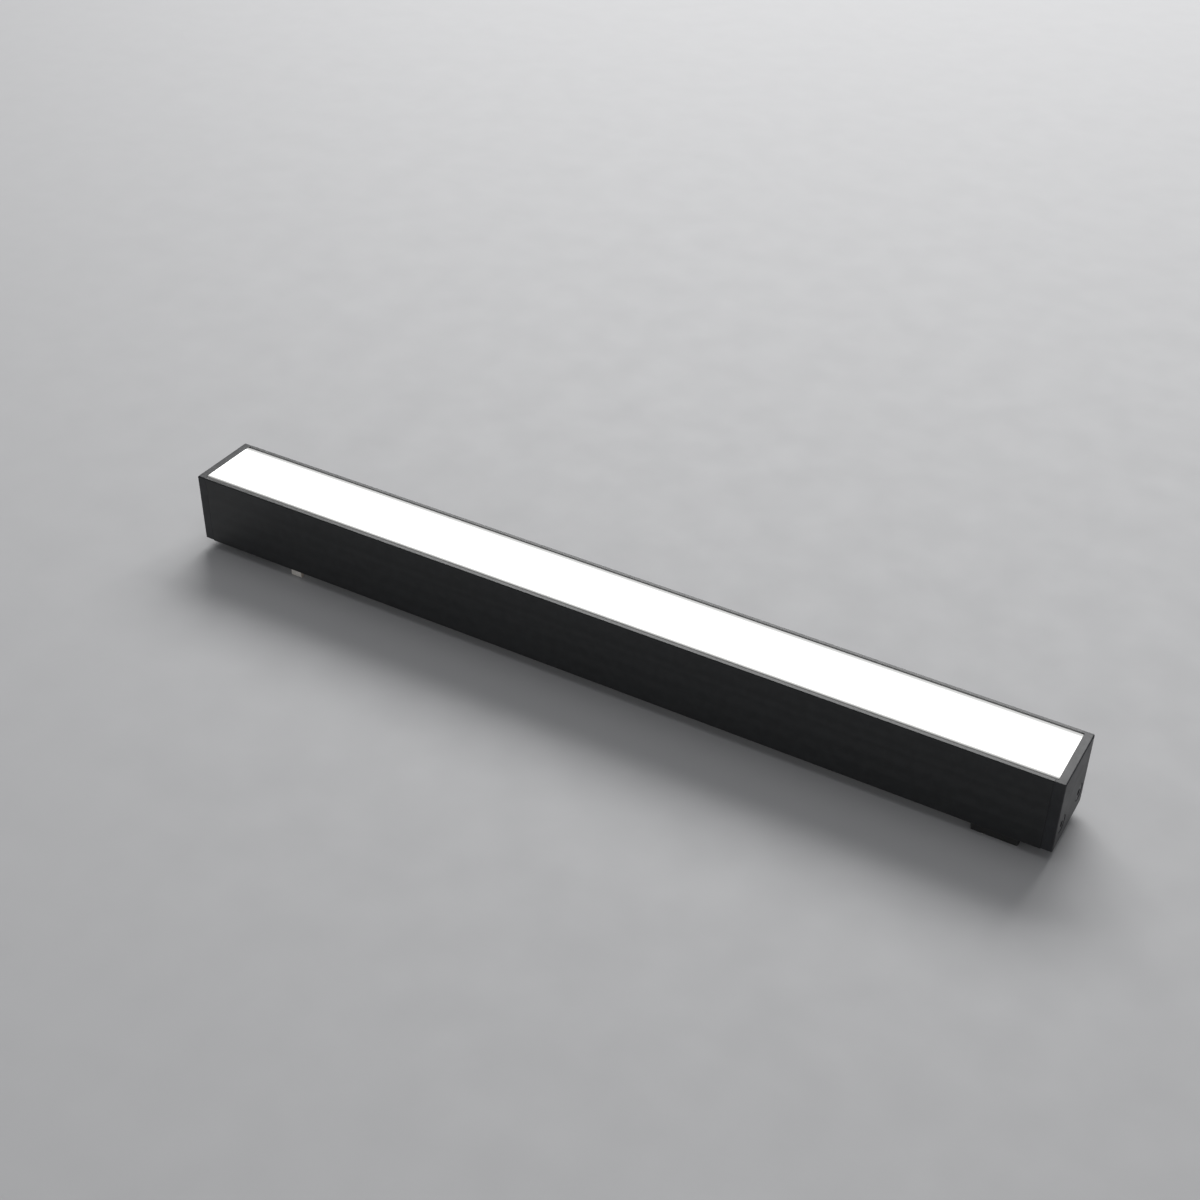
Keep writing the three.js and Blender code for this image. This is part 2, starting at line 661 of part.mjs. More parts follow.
// from the contact terminal over the block and down into the driver's input connector
function inputLead(sign) {
  const tagY = CONTACT_OUT - SHOULDER_DEEP + 0.1;
  return lead([
    [HEAD_X + 1.3, sign * tagY, 10.3],
    [HEAD_X + 5, sign * tagY, 10.5],
    [HEAD_X + 10.5, sign * 5, 11.3],
    [INPUT_X - 7.2, sign * 2.1, 9.8],
    [INPUT_X - 4.4, sign * PIN_PITCH, LEAD_HEIGHT + 0.1],
    [INPUT_X - 2.1, sign * PIN_PITCH, LEAD_HEIGHT],
  ]);
}

// from the driver's output connector up through the shelf to the pads of the LED board
function ledLead(sign) {
  const holeY = (LEAD_HOLE.near + LEAD_HOLE.far) / 2 + sign * 0.9;
  const padHeight = SHELF_TOP + LED_BOARD_THICK + LEAD_RADIUS + 0.4;
  return lead([
    [OUTPUT_X + 2.1, sign * PIN_PITCH, LEAD_HEIGHT],
    [OUTPUT_X + 4.6, sign * PIN_PITCH, LEAD_HEIGHT + 0.2],
    [OUTPUT_X + 9.5, 1.6 + sign * 1.1, 10.6],
    [LEAD_HOLE.from - 1, holeY - 1.2, 11.6],
    [LEAD_HOLE.from + 2.2, holeY, 14],
    [LEAD_HOLE.from + 3.6, holeY, padHeight],
    [LEAD_HOLE.from + 7, holeY, padHeight - 0.25],
  ]);
}

// ---------------------------------------------------------------- assembly
addPiece('housing_profile', housingProfile(), ANODISED);
addPiece('diffuser', diffuser(), OPAL);
addPiece('back_cover_left', backCoverLeft(), BLACK_PLASTIC);
addPiece('back_cover_main', backCoverMain(), BLACK_PLASTIC);

for (const end of ENDS) {
  addPiece(`end_cap_${end.name}`, endCap(end.sign), BLACK_PLASTIC);
  addPiece(`magnet_holder_${end.name}`, magnetHolder(end.sign), BLACK_PLASTIC);
  addPiece(`magnet_${end.name}`, magnet(end.sign), NICKEL);
  for (const side of SIDES) {
    addPiece(`cap_screw_${end.name}_${side.name}`, capScrew(end.sign, side.sign), BLACK_SCREW);
  }
  for (const along of ENDS) {
    addPiece(`holder_screw_${end.name}_${along.name}`, holderScrew(end.sign, along.sign), BLACK_SCREW);
  }
}

addPiece('contact_block', contactBlock(), BLACK_PLASTIC);
for (const side of SIDES) {
  addPiece(`contact_${side.name}`, contact(side.sign), NICKEL);
  addPiece(`contact_spring_${side.name}`, contactSpring(side.sign), SPRING_STEEL);
  addPiece(`contact_terminal_${side.name}`, contactTerminal(side.sign), BRASS);
  addPiece(`lock_slider_${side.name}`, lockSlider(side.sign), BLACK_PLASTIC);
}

addPiece('led_board', ledBoard(), BOARD_WHITE);
addPiece('driver_board', driverBoard(), BOARD_GREEN);
addPiece('input_connector', connector(INPUT_X, -1), CONNECTOR_WHITE);
addPiece('input_capacitor', lyingCapacitor(-68), CAPACITOR_SLEEVE);
addPiece('inductor', inductor(-40), FERRITE);
addPiece('driver_chip', smallPackage(-54, CHIP), CHIP_BLACK);
addPiece('rectifier_diode', smallPackage(-24, DIODE), CHIP_BLACK);
addPiece('output_capacitor', lyingCapacitor(2), CAPACITOR_SLEEVE);
addPiece('output_connector', connector(OUTPUT_X, 1), CONNECTOR_WHITE);
addPiece('input_lead_front', inputLead(-1), LEAD_BLACK);
addPiece('input_lead_rear', inputLead(1), LEAD_RED);
addPiece('led_lead_front', ledLead(-1), LEAD_BLACK);
addPiece('led_lead_rear', ledLead(1), LEAD_RED);

export default part;
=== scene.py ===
# %% [markdown]
# # A slim linear light bar
# The bar is an extruded aluminium housing, blasted and anodised black. An opal cover snaps in between its
# two rims, and moulded caps close its ends. It lies on its back with the light on, so what clips to a
# magnetic track is underneath: two magnets, two sprung contacts and two sliding locks.
#
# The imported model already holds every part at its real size. This lesson gives the parts their edges and
# finishes, and adds the small things that repeat, such as the LEDs, the coils and the solder joints.

# %% Load the frame
import math

import bmesh
import bpy
from mathutils import Matrix, Vector


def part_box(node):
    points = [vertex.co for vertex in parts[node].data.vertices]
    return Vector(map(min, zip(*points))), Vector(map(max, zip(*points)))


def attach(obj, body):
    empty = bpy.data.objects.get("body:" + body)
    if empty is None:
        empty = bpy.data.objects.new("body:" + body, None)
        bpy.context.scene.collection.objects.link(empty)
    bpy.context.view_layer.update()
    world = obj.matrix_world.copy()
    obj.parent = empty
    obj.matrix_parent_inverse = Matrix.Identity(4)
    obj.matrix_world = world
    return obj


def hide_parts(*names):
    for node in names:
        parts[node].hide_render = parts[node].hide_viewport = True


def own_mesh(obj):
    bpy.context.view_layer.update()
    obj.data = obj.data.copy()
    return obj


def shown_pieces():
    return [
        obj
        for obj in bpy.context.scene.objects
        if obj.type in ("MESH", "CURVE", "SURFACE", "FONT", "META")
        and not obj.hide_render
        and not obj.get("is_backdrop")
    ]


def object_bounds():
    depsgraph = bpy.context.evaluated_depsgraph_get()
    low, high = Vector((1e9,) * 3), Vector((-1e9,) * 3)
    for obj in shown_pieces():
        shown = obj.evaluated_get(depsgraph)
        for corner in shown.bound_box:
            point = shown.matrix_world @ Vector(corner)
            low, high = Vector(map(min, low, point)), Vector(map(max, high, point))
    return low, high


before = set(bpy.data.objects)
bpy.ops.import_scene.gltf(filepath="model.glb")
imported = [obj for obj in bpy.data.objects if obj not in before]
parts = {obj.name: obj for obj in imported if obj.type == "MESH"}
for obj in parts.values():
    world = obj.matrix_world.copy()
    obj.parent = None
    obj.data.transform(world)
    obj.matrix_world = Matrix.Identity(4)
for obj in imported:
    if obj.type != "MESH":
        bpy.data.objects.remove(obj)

MM = 0.001
scene = bpy.context.scene
cad_low, cad_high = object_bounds()
size = cad_high - cad_low
print(f"{len(parts)} parts, {size.x / MM:.1f} x {size.y / MM:.1f} x {size.z / MM:.1f} mm")

# %% [markdown]
# ## Camera
# A camera can be placed by its rotation angles, by a tracking constraint or by a matrix. A matrix is used
# here, because its columns say plainly where the camera's right, up and back directions point. The bar is
# seen from its front, a little past its right end, with a lens somewhat longer than normal.

# %% Camera
EYE = Vector((0.21852, -0.38545, 0.34991))
TURN = math.radians(29.72)  # how far the camera stands round to the right
DOWN = math.radians(36.21)  # how far it looks down
ROLL = math.radians(0.74)
LENS_MM = 53.72
SENSOR_MM = 36.0


def looking(eye, turn, down, roll):
    right = Vector((math.cos(turn), math.sin(turn), 0))
    level = Vector((-math.sin(turn), math.cos(turn), 0))
    forward = level * math.cos(down) - Vector((0, 0, math.sin(down)))
    up = right.cross(forward)
    across = right * math.cos(roll) + up * math.sin(roll)
    upright = up * math.cos(roll) - right * math.sin(roll)
    placed = Matrix((across, upright, -forward)).transposed().to_4x4()
    placed.translation = eye
    return placed


lens = bpy.data.cameras.new("camera")
lens.lens = LENS_MM
lens.sensor_width = SENSOR_MM
lens.clip_start = 0.01
lens.clip_end = 50
camera = bpy.data.objects.new("camera", lens)
camera.matrix_world = looking(EYE, TURN, DOWN, ROLL)
scene.collection.objects.link(camera)
scene.camera = camera
print(f"the camera stands {EYE.length:.2f} m from the bar's middle")

# %% [markdown]
# ## Studio
# Black anodising shows only what it reflects. One large soft light stands behind the bar, so that its
# reflection draws the narrow rims as thin bright lines, while the long side towards the camera stays dark.
# A low weak one in front lifts that side a little. The Standard view keeps blacks as dark as they are set.

# %% Lights, world and floor
scene.view_settings.view_transform = "Standard"
scene.view_settings.look = "None"


def softbox(name, place, wide, deep, power):
    """A rectangular light, aimed at the bar's middle. Its sides are in metres, its power in watts."""
    light = bpy.data.lights.new(name, "AREA")
    light.shape = "RECTANGLE"
    light.size = wide
    light.size_y = deep
    light.energy = power
    lamp = bpy.data.objects.new(name, light)
    lamp.location = place
    lamp.rotation_mode = "QUATERNION"
    lamp.rotation_quaternion = (-Vector(place)).to_track_quat("-Z", "Y")
    scene.collection.objects.link(lamp)
    return lamp


softbox("back_softbox", (-0.35, 1.15, 1.02), 1.5, 0.7, 24)
softbox("front_softbox", (0.5, -1.3, 0.15), 1.2, 0.3, 2.5)
softbox("top_softbox", (-0.1, 0.1, 1.5), 1.2, 1.2, 3.7)

world = bpy.data.worlds.new("studio")
world.use_nodes = True
world_light = world.node_tree.nodes["Background"]
world_light.inputs["Color"].default_value = (0.86, 0.88, 0.92, 1)
world_light.inputs["Strength"].default_value = 0.22
scene.world = world

# %% [markdown]
# ## Helpers for node trees
# Node trees can be drawn by hand in the editor. In a script each node takes three or four lines, so one
# helper makes a node, sets it up and fills its inputs. An input gets either a plain value or another
# node's output.

# %% Node helpers
def add(tree, kind, values=None, **settings):
    made = tree.nodes.new(kind)
    for name, value in settings.items():
        setattr(made, name, value)
    for name, value in (values or {}).items():
        if isinstance(value, bpy.types.NodeSocket):
            tree.links.new(value, made.inputs[name])
        else:
            made.inputs[name].default_value = value
    return made


def calc(tree, operation, *values, clamp=False):
    made = add(tree, "ShaderNodeMath", dict(enumerate(values)), operation=operation, use_clamp=clamp)
    return made.outputs[0]


def times(tree, first, second, clamp=False):
    return calc(tree, "MULTIPLY", first, second, clamp=clamp)


def over(tree, first, second, clamp=False):
    return calc(tree, "DIVIDE", first, second, clamp=clamp)


def plus(tree, first, second, clamp=False):
    return calc(tree, "ADD", first, second, clamp=clamp)


def minus(tree, first, second):
    return calc(tree, "SUBTRACT", first, second)


def vector_calc(tree, operation, *values):
    made = add(tree, "ShaderNodeVectorMath", dict(enumerate(values)), operation=operation)
    return made.outputs[0]


def ramp(tree, value, low, high, start=0.0, end=1.0):
    """start where value is low, end where it is high, and a smooth change between."""
    ends = {"Value": value, "From Min": low, "From Max": high, "To Min": start, "To Max": end}
    return add(tree, "ShaderNodeMapRange", ends, interpolation_type="SMOOTHSTEP").outputs["Result"]


def blend(tree, mask, first, second):
    """The first colour where the mask is 0 and the second where it is 1."""
    colours = [c if isinstance(c, bpy.types.NodeSocket) else (*c, 1) for c in (first, second)]
    made = add(tree, "ShaderNodeMix", {0: mask, 6: colours[0], 7: colours[1]}, data_type="RGBA")
    return made.outputs[2]


def noise(tree, place, scale, detail=2.0):
    values = {"Vector": place, "Scale": scale, "Detail": detail}
    return add(tree, "ShaderNodeTexNoise", values).outputs["Fac"]


def own_place(tree):
    return add(tree, "ShaderNodeTexCoord").outputs["Object"]


def split(tree, vector):
    return add(tree, "ShaderNodeSeparateXYZ", {"Vector": vector}).outputs


def facing(tree):
    """The direction that the surface faces, as its three parts."""
    return split(tree, add(tree, "ShaderNodeNewGeometry").outputs["Normal"])


KINDS = {"mask": "NodeSocketFloat", "number": "NodeSocketFloat", "place": "NodeSocketVector"}


def effect(name, inputs, outputs):
    """An empty shader node group, with its way in and its way out."""
    tree = bpy.data.node_groups.new(name, "ShaderNodeTree")
    for label, (kind, value) in inputs.items():
        tree.interface.new_socket(label, in_out="INPUT", socket_type=KINDS[kind]).default_value = value
    for label in outputs:
        tree.interface.new_socket(label, in_out="OUTPUT", socket_type=KINDS["mask"])
    return tree, tree.nodes.new("NodeGroupInput").outputs, tree.nodes.new("NodeGroupOutput")


# %% [markdown]
# ## Effects that several finishes share
# Grain, drawing lines, worn edges, dust, scratches and board tracks turn up on more than one material.
# Each is a node group that puts out masks and heights only, and every material mixes them in its own
# strength. They read object coordinates, so a pattern stays where it is when a part moves. Sizes go in as
# millimetres.

# %% Grain and drawing lines
def make_grain():
    tree, given, result = effect("grain", {"Size": ("number", 0.3)}, ["Height", "Shade"])
    place = own_place(tree)
    fine = over(tree, 1 / MM, given["Size"])
    broad = over(tree, fine, 14.0)
    tree.links.new(noise(tree, place, fine, 1.5), result.inputs["Height"])
    tree.links.new(noise(tree, place, broad, 3.0), result.inputs["Shade"])
    return tree


def make_draw_lines():
    inputs = {"Spacing": ("number", 0.4), "Stretch": ("number", 0.004)}
    tree, given, result = effect("draw_lines", inputs, ["Height", "Shade"])
    along = add(tree, "ShaderNodeCombineXYZ", {"X": given["Stretch"], "Y": 1.0, "Z": 1.0}).outputs[0]
    place = vector_calc(tree, "MULTIPLY", own_place(tree), along)
    fine = over(tree, 1 / MM, given["Spacing"])
    broad = over(tree, fine, 6.0)
    tree.links.new(noise(tree, place, fine, 1.0), result.inputs["Height"])
    tree.links.new(noise(tree, place, broad, 2.0), result.inputs["Shade"])
    return tree


grain = make_grain()
draw_lines = make_draw_lines()
print("effects:", grain.name, draw_lines.name)

# %% [markdown]
# ## Worn edges
# Edges can be found by the Pointiness output or the Bevel node, but both need fine meshes or many
# samples. The parts here are nearly boxes, so the distance to an edge is worked out from the part's
# middle and half size: of the three distances to the box's faces the middle one is small only near an
# edge.

# %% Worn edges and dust
def make_edge_wear():
    inputs = {
        "Middle": ("place", (0, 0, 0)),
        "Half Size": ("place", (0.01, 0.01, 0.01)),
        "Width": ("number", 0.25),
        "Amount": ("number", 0.5),
    }
    tree, given, result = effect("edge_wear", inputs, ["Wear", "Edge"])
    place = own_place(tree)
    from_middle = vector_calc(tree, "ABSOLUTE", vector_calc(tree, "SUBTRACT", place, given["Middle"]))
    to_face = split(tree, vector_calc(tree, "SUBTRACT", given["Half Size"], from_middle))
    nearest = calc(tree, "MINIMUM", calc(tree, "MINIMUM", to_face[0], to_face[1]), to_face[2])
    farthest = calc(tree, "MAXIMUM", calc(tree, "MAXIMUM", to_face[0], to_face[1]), to_face[2])
    total = plus(tree, plus(tree, to_face[0], to_face[1]), to_face[2])
    to_edge = minus(tree, minus(tree, total, nearest), farthest)
    width = times(tree, given["Width"], MM)
    edge = ramp(tree, over(tree, to_edge, width), 0.2, 1.0, 1.0, 0.0)
    rubbed = noise(tree, place, 420.0, 4.0)
    least = minus(tree, 0.72, times(tree, given["Amount"], 0.3))
    patches = times(tree, minus(tree, rubbed, least), 9.0, clamp=True)
    tree.links.new(times(tree, edge, patches), result.inputs["Wear"])
    tree.links.new(edge, result.inputs["Edge"])
    return tree


def make_dust():
    inputs = {"Spacing": ("number", 5.0), "Speck": ("number", 0.16), "Amount": ("number", 0.5)}
    tree, given, result = effect("dust", inputs, ["Specks"])
    place = own_place(tree)
    scale = over(tree, 1 / MM, given["Spacing"])
    cells = add(tree, "ShaderNodeTexVoronoi", {"Vector": place, "Scale": scale})
    chance = split(tree, cells.outputs["Color"])
    radius = times(tree, over(tree, given["Speck"], given["Spacing"]), chance[1])
    speck = calc(tree, "LESS_THAN", cells.outputs["Distance"], radius)
    kept = calc(tree, "LESS_THAN", chance[0], given["Amount"])
    upward = facing(tree)[2]
    settled = ramp(tree, upward, -0.2, 0.9, 0.25, 1.0)
    specks = times(tree, times(tree, speck, kept), settled)
    tree.links.new(specks, result.inputs["Specks"])
    return tree


edge_wear = make_edge_wear()
dust = make_dust()
print("effects:", edge_wear.name, dust.name)

# %% [markdown]
# ## Scratches and board tracks
# A scratch is noise that has been pulled out into long threads and cut off high, so that only its crests
# are left. Board tracks come from noise read on a coarse square grid, which gives it straight edges.

# %% Scratches and board tracks
def make_scratches():
    inputs = {"Spacing": ("number", 0.3), "Amount": ("number", 0.3)}
    tree, given, result = effect("scratches", inputs, ["Scratch"])
    scale = over(tree, 1 / MM, given["Spacing"])
    level = minus(tree, 0.78, times(tree, given["Amount"], 0.2))
    threads = []
    for turn in (0.35, 1.25, 2.3):
        turned = add(tree, "ShaderNodeMapping", {"Vector": own_place(tree), "Rotation": (turn, turn, turn)})
        pulled = vector_calc(tree, "MULTIPLY", turned.outputs[0], (0.03, 1.0, 1.0))
        crest = minus(tree, noise(tree, pulled, scale, 0.0), level)
        threads.append(times(tree, crest, 14.0, clamp=True))
    found = calc(tree, "MAXIMUM", calc(tree, "MAXIMUM", threads[0], threads[1]), threads[2])
    tree.links.new(found, result.inputs["Scratch"])
    return tree


def make_board_tracks():
    inputs = {"Pitch": ("number", 0.6), "Cover": ("number", 0.5)}
    tree, given, result = effect("board_tracks", inputs, ["Track", "Via"])
    place = own_place(tree)
    pitch = times(tree, given["Pitch"], MM)
    cell = add(tree, "ShaderNodeCombineXYZ", {"X": pitch, "Y": pitch, "Z": pitch}).outputs[0]
    stepped = vector_calc(tree, "SNAP", place, cell)
    broad = vector_calc(tree, "MULTIPLY", stepped, (0.35, 1.0, 1.0))
    bare = minus(tree, 1.0, given["Cover"])
    copper = calc(tree, "GREATER_THAN", noise(tree, broad, 260.0, 2.0), bare)
    dots = add(tree, "ShaderNodeTexVoronoi", {"Vector": place, "Scale": 260.0, "Randomness": 0.8})
    via = calc(tree, "LESS_THAN", dots.outputs["Distance"], 0.1)
    tree.links.new(copper, result.inputs["Track"])
    tree.links.new(times(tree, via, copper), result.inputs["Via"])
    return tree


scratches = make_scratches()
board_tracks = make_board_tracks()
print("effects:", scratches.name, board_tracks.name)

# %% [markdown]
# ## How a finish is put together
# Each finish is one Principled shader. What is the same all over stays on the shader's own sockets, and
# what varies comes in through masks. Three helpers cover what nearly all finishes need: the bare shader,
# an effect placed in a material, and a bump whose depth is given in millimetres.

# %% Finish helpers
def finish(name, colour, roughness, metallic=0.0, **constants):
    material = bpy.data.materials.new(name)
    material.use_nodes = True
    tree = material.node_tree
    shader = tree.nodes["Principled BSDF"]
    shader.inputs["Base Color"].default_value = (*colour, 1)
    shader.inputs["Roughness"].default_value = roughness
    shader.inputs["Metallic"].default_value = metallic
    for label, value in constants.items():
        shader.inputs[label.replace("_", " ")].default_value = value
    material.diffuse_color = (*colour, 1)
    return material, tree, shader


def apply_effect(tree, group, **values):
    named = {label.replace("_", " "): value for label, value in values.items()}
    return add(tree, "ShaderNodeGroup", named, node_tree=group).outputs


def bump(tree, shader, height, depth_mm, under=None):
    values = {"Height": height, "Distance": depth_mm * MM, "Strength": 1.0}
    if under is not None:
        values["Normal"] = under
    raised = add(tree, "ShaderNodeBump", values).outputs["Normal"]
    tree.links.new(raised, shader.inputs["Normal"])
    return raised


def set_colour(tree, shader, socket):
    tree.links.new(socket, shader.inputs["Base Color"])


def set_roughness(tree, shader, value, low, high):
    tree.links.new(ramp(tree, value, 0.0, 1.0, low, high), shader.inputs["Roughness"])


def box_of(*names):
    """The middle and half size of one part, or of several together."""
    corners = [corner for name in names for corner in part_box(name)]
    low = Vector(map(min, *corners))
    high = Vector(map(max, *corners))
    return (low + high) / 2, (high - low) / 2


# %% [markdown]
# ## Black anodising
# The housing is blasted before it is anodised, which leaves an even, very fine grain. Faint lines from
# the extrusion die still run along it. The sharp corners hold less dye and get rubbed, so they are a
# little greyer. The cover lights the walls of the groove beside it, but its dimmed edge sends too little
# light there. So these walls are given a lighter grey, which stands in for that light.

# %% Housing finish
GROOVE_DEEP = 1.0 * MM


def black_anodising():
    black = (0.0125, 0.0135, 0.0142)
    greyer = (0.020, 0.021, 0.022)
    bare = (0.16, 0.16, 0.165)
    lint = (0.16, 0.155, 0.15)
    lit_wall = (0.34, 0.34, 0.34)
    material, tree, shader = finish("black_anodising", black, 0.48, Specular_IOR_Level=0.4)
    blasted = apply_effect(tree, grain, Size=0.22)
    lines = apply_effect(tree, draw_lines, Spacing=0.5)
    middle, half = box_of("housing_profile")
    edges = apply_effect(tree, edge_wear, Middle=middle, Half_Size=half, Width=0.22, Amount=0.25)
    settled = apply_effect(tree, dust, Spacing=7.0, Speck=0.35, Amount=0.28)
    cloudy = times(tree, plus(tree, blasted["Shade"], lines["Shade"]), 0.5)
    colour = blend(tree, ramp(tree, cloudy, 0.35, 0.65), black, greyer)
    colour = blend(tree, times(tree, edges["Wear"], 0.6), colour, bare)
    place = split(tree, own_place(tree))
    toward = facing(tree)
    outward = times(tree, toward[1], over(tree, place[1], half.y))
    inner_wall = ramp(tree, outward, -0.85, -0.5, 1.0, 0.0)
    near_top = ramp(tree, place[2], middle.z + half.z - GROOVE_DEEP, middle.z + half.z - 0.8 * GROOVE_DEEP)
    colour = blend(tree, times(tree, inner_wall, near_top), colour, lit_wall)
    colour = blend(tree, times(tree, settled["Specks"], 0.5), colour, lint)
    set_colour(tree, shader, colour)
    set_roughness(tree, shader, cloudy, 0.32, 0.46)
    lined = bump(tree, shader, lines["Height"], 0.004)
    bump(tree, shader, blasted["Height"], 0.012, lined)
    return material


anodised = black_anodising()
print("made", anodised.name)

# %% [markdown]
# ## Moulded black plastics
# The end caps, the back covers, the holders and the sliders are moulded. They share one recipe: a spark-
# eroded texture, edges polished by handling and a little dust. The caps are finer and smoother than the
# covers.

# %% Moulded finishes
def moulded_black(name, parts_covered, tint, texture_mm, depth_mm, roughness, wear):
    material, tree, shader = finish(name, tint, roughness, Specular_IOR_Level=0.42)
    eroded = apply_effect(tree, grain, Size=texture_mm)
    middle, half = box_of(*parts_covered)
    edges = apply_effect(tree, edge_wear, Middle=middle, Half_Size=half, Width=0.4, Amount=wear)
    settled = apply_effect(tree, dust, Spacing=6.0, Speck=0.3, Amount=0.3)
    lighter = tuple(1.35 * c + 0.002 for c in tint)
    polished = tuple(2.6 * c + 0.01 for c in tint)
    colour = blend(tree, ramp(tree, eroded["Shade"], 0.3, 0.7), tint, lighter)
    colour = blend(tree, times(tree, edges["Wear"], 0.5), colour, polished)
    colour = blend(tree, times(tree, settled["Specks"], 0.4), colour, (0.14, 0.135, 0.13))
    set_colour(tree, shader, colour)
    smoother = calc(tree, "MAXIMUM", edges["Edge"], times(tree, eroded["Shade"], 0.5))
    set_roughness(tree, shader, smoother, roughness + 0.06, roughness - 0.12)
    bump(tree, shader, eroded["Height"], depth_mm)
    return material


CAP_TINT = (0.0120, 0.0130, 0.0150)
COVER_TINT = (0.0130, 0.0132, 0.0130)
cap_plastic = {
    end: moulded_black(f"cap_plastic_{end}", [f"end_cap_{end}"], CAP_TINT, 0.28, 0.014, 0.42, 0.3)
    for end in ("left", "right")
}
cover_plastic = {}
for name in (
    "back_cover_left", "back_cover_main", "contact_block",
    "magnet_holder_left", "magnet_holder_right", "lock_slider_front", "lock_slider_rear",
):
    cover_plastic[name] = moulded_black(f"plastic_{name}", [name], COVER_TINT, 0.4, 0.02, 0.5, 0.5)
print(f"made {len(cap_plastic) + len(cover_plastic)} moulded finishes")

# %% [markdown]
# ## Opal cover
# An opal cover spreads the light of the LEDs behind it over its whole top. A model can trace that light
# through the plastic, but it is slow and noisy, so here the top itself shines. Its strength sits on the
# shader's socket, and a mask keeps the cover's sides dim, lets its edges fall off and leaves a trace of
# each LED behind it. Where the glow falls off, the cover's colour also turns dark grey: painted shade at
# its edges.

# %% Opal finish
LED_PITCH = 6.0 * MM
TOP_HALF = 10.65 * MM  # half the width of the cover's shining top
REAR_FADE = 7.0 * MM  # how far from each edge the glow reaches its full strength
FRONT_FADE = 4.5 * MM
END_FADE = 1.2 * MM
LED_TRACE = 0.03  # how much the glow varies from LED to LED
cover_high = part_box("diffuser")[1]


def opal_cover():
    white = (0.86, 0.86, 0.84)
    material, tree, shader = finish("opal_cover", white, 0.42, Emission_Strength=5.0)
    place = split(tree, own_place(tree))
    upward = facing(tree)[2]
    lit_top = ramp(tree, upward, 0.4, 0.95)
    rear = ramp(tree, place[1], TOP_HALF - REAR_FADE, TOP_HALF, 1.0, 0.01)
    front = ramp(tree, place[1], -TOP_HALF, FRONT_FADE - TOP_HALF, 0.03, 1.0)
    from_end = minus(tree, cover_high.x, calc(tree, "ABSOLUTE", place[0]))
    ends = ramp(tree, from_end, 0.0, END_FADE, 0.15, 1.0)
    fall_off = calc(tree, "MINIMUM", calc(tree, "MINIMUM", rear, front), ends)
    wave = calc(tree, "COSINE", times(tree, place[0], 2 * math.pi / LED_PITCH))
    spots = plus(tree, times(tree, wave, LED_TRACE), 1.0 - LED_TRACE)
    lit = times(tree, times(tree, lit_top, fall_off), spots)
    least = ramp(tree, place[1], 0.0, TOP_HALF, 0.02, 0.05)  # the far edge never goes dark
    glow = calc(tree, "MAXIMUM", lit, least)
    tree.links.new(blend(tree, glow, (0, 0, 0), (1.0, 0.995, 0.97)), shader.inputs["Emission Color"])
    cloud = apply_effect(tree, grain, Size=0.5)
    clouded = blend(tree, cloud["Shade"], white, (0.80, 0.80, 0.785))
    # painted shade: the cover's colour turns dark grey where its glow falls off towards the edges
    inside = times(tree, fall_off, 6.0, clamp=True)
    set_colour(tree, shader, blend(tree, inside, (0.16, 0.16, 0.16), clouded))
    set_roughness(tree, shader, cloud["Shade"], 0.36, 0.5)
    bump(tree, shader, cloud["Height"], 0.004)
    return material


opal = opal_cover()
print("made", opal.name)

# %% [markdown]
# ## Bare metals
# Plated and blackened metals differ in colour and polish, but all get a fine grain and hair scratches.
# The contacts are taken to be stamped from nickel-plated strip, so their cut sides, which face along the
# bar, are darker and warmer.

# %% Metal finishes
def metal(name, colour, roughness, darker, scratch=0.3, grain_mm=0.15, depth_mm=0.002):
    material, tree, shader = finish(name, colour, roughness, 1.0)
    texture = apply_effect(tree, grain, Size=grain_mm)
    marks = apply_effect(tree, scratches, Spacing=0.25, Amount=scratch)
    colour_now = blend(tree, ramp(tree, texture["Shade"], 0.3, 0.7), colour, darker)
    brighter = tuple(min(1.0, 1.25 * c) for c in colour)
    colour_now = blend(tree, times(tree, marks["Scratch"], 0.5), colour_now, brighter)
    set_colour(tree, shader, colour_now)
    uneven = plus(tree, times(tree, texture["Shade"], 0.7), marks["Scratch"], clamp=True)
    set_roughness(tree, shader, uneven, roughness - 0.06, roughness + 0.16)
    bump(tree, shader, texture["Height"], depth_mm)
    return material, tree, shader, colour_now


def stamped_contact():
    material, tree, shader, plated = metal("contact_plating", (0.95, 0.91, 0.85), 0.42, (0.86, 0.82, 0.76))
    along = facing(tree)[0]
    shader.inputs["Metallic"].default_value = 0.4  # below 1, so it stays pale where it mirrors a shadow
    cut_side = ramp(tree, calc(tree, "ABSOLUTE", along), 0.6, 0.95)
    set_colour(tree, shader, blend(tree, cut_side, plated, (0.64, 0.57, 0.50)))
    return material


contact_plating = stamped_contact()
spring_wire = metal("spring_wire", (0.50, 0.50, 0.49), 0.3, (0.38, 0.38, 0.38))[0]
brass = metal("brass", (0.68, 0.50, 0.20), 0.3, (0.55, 0.38, 0.14))[0]
magnet_plating = metal("magnet_plating", (0.56, 0.54, 0.51), 0.36, (0.52, 0.50, 0.47), 0.1, 0.6, 0.0005)[0]
black_oxide = metal("black_oxide", (0.028, 0.029, 0.031), 0.36, (0.018, 0.018, 0.02), 0.45)[0]
solder = metal("solder", (0.60, 0.61, 0.62), 0.28, (0.45, 0.46, 0.47), 0.1)[0]
enamelled_copper = metal("enamelled_copper", (0.56, 0.20, 0.075), 0.24, (0.42, 0.13, 0.05), 0.1)[0]
print("made the metals")

# %% [markdown]
# ## Boards
# Solder mask follows the copper under it, so tracks show as slightly raised and lighter areas. The LED
# board has a white mask to waste no light. The same recipe serves both boards with other colours.

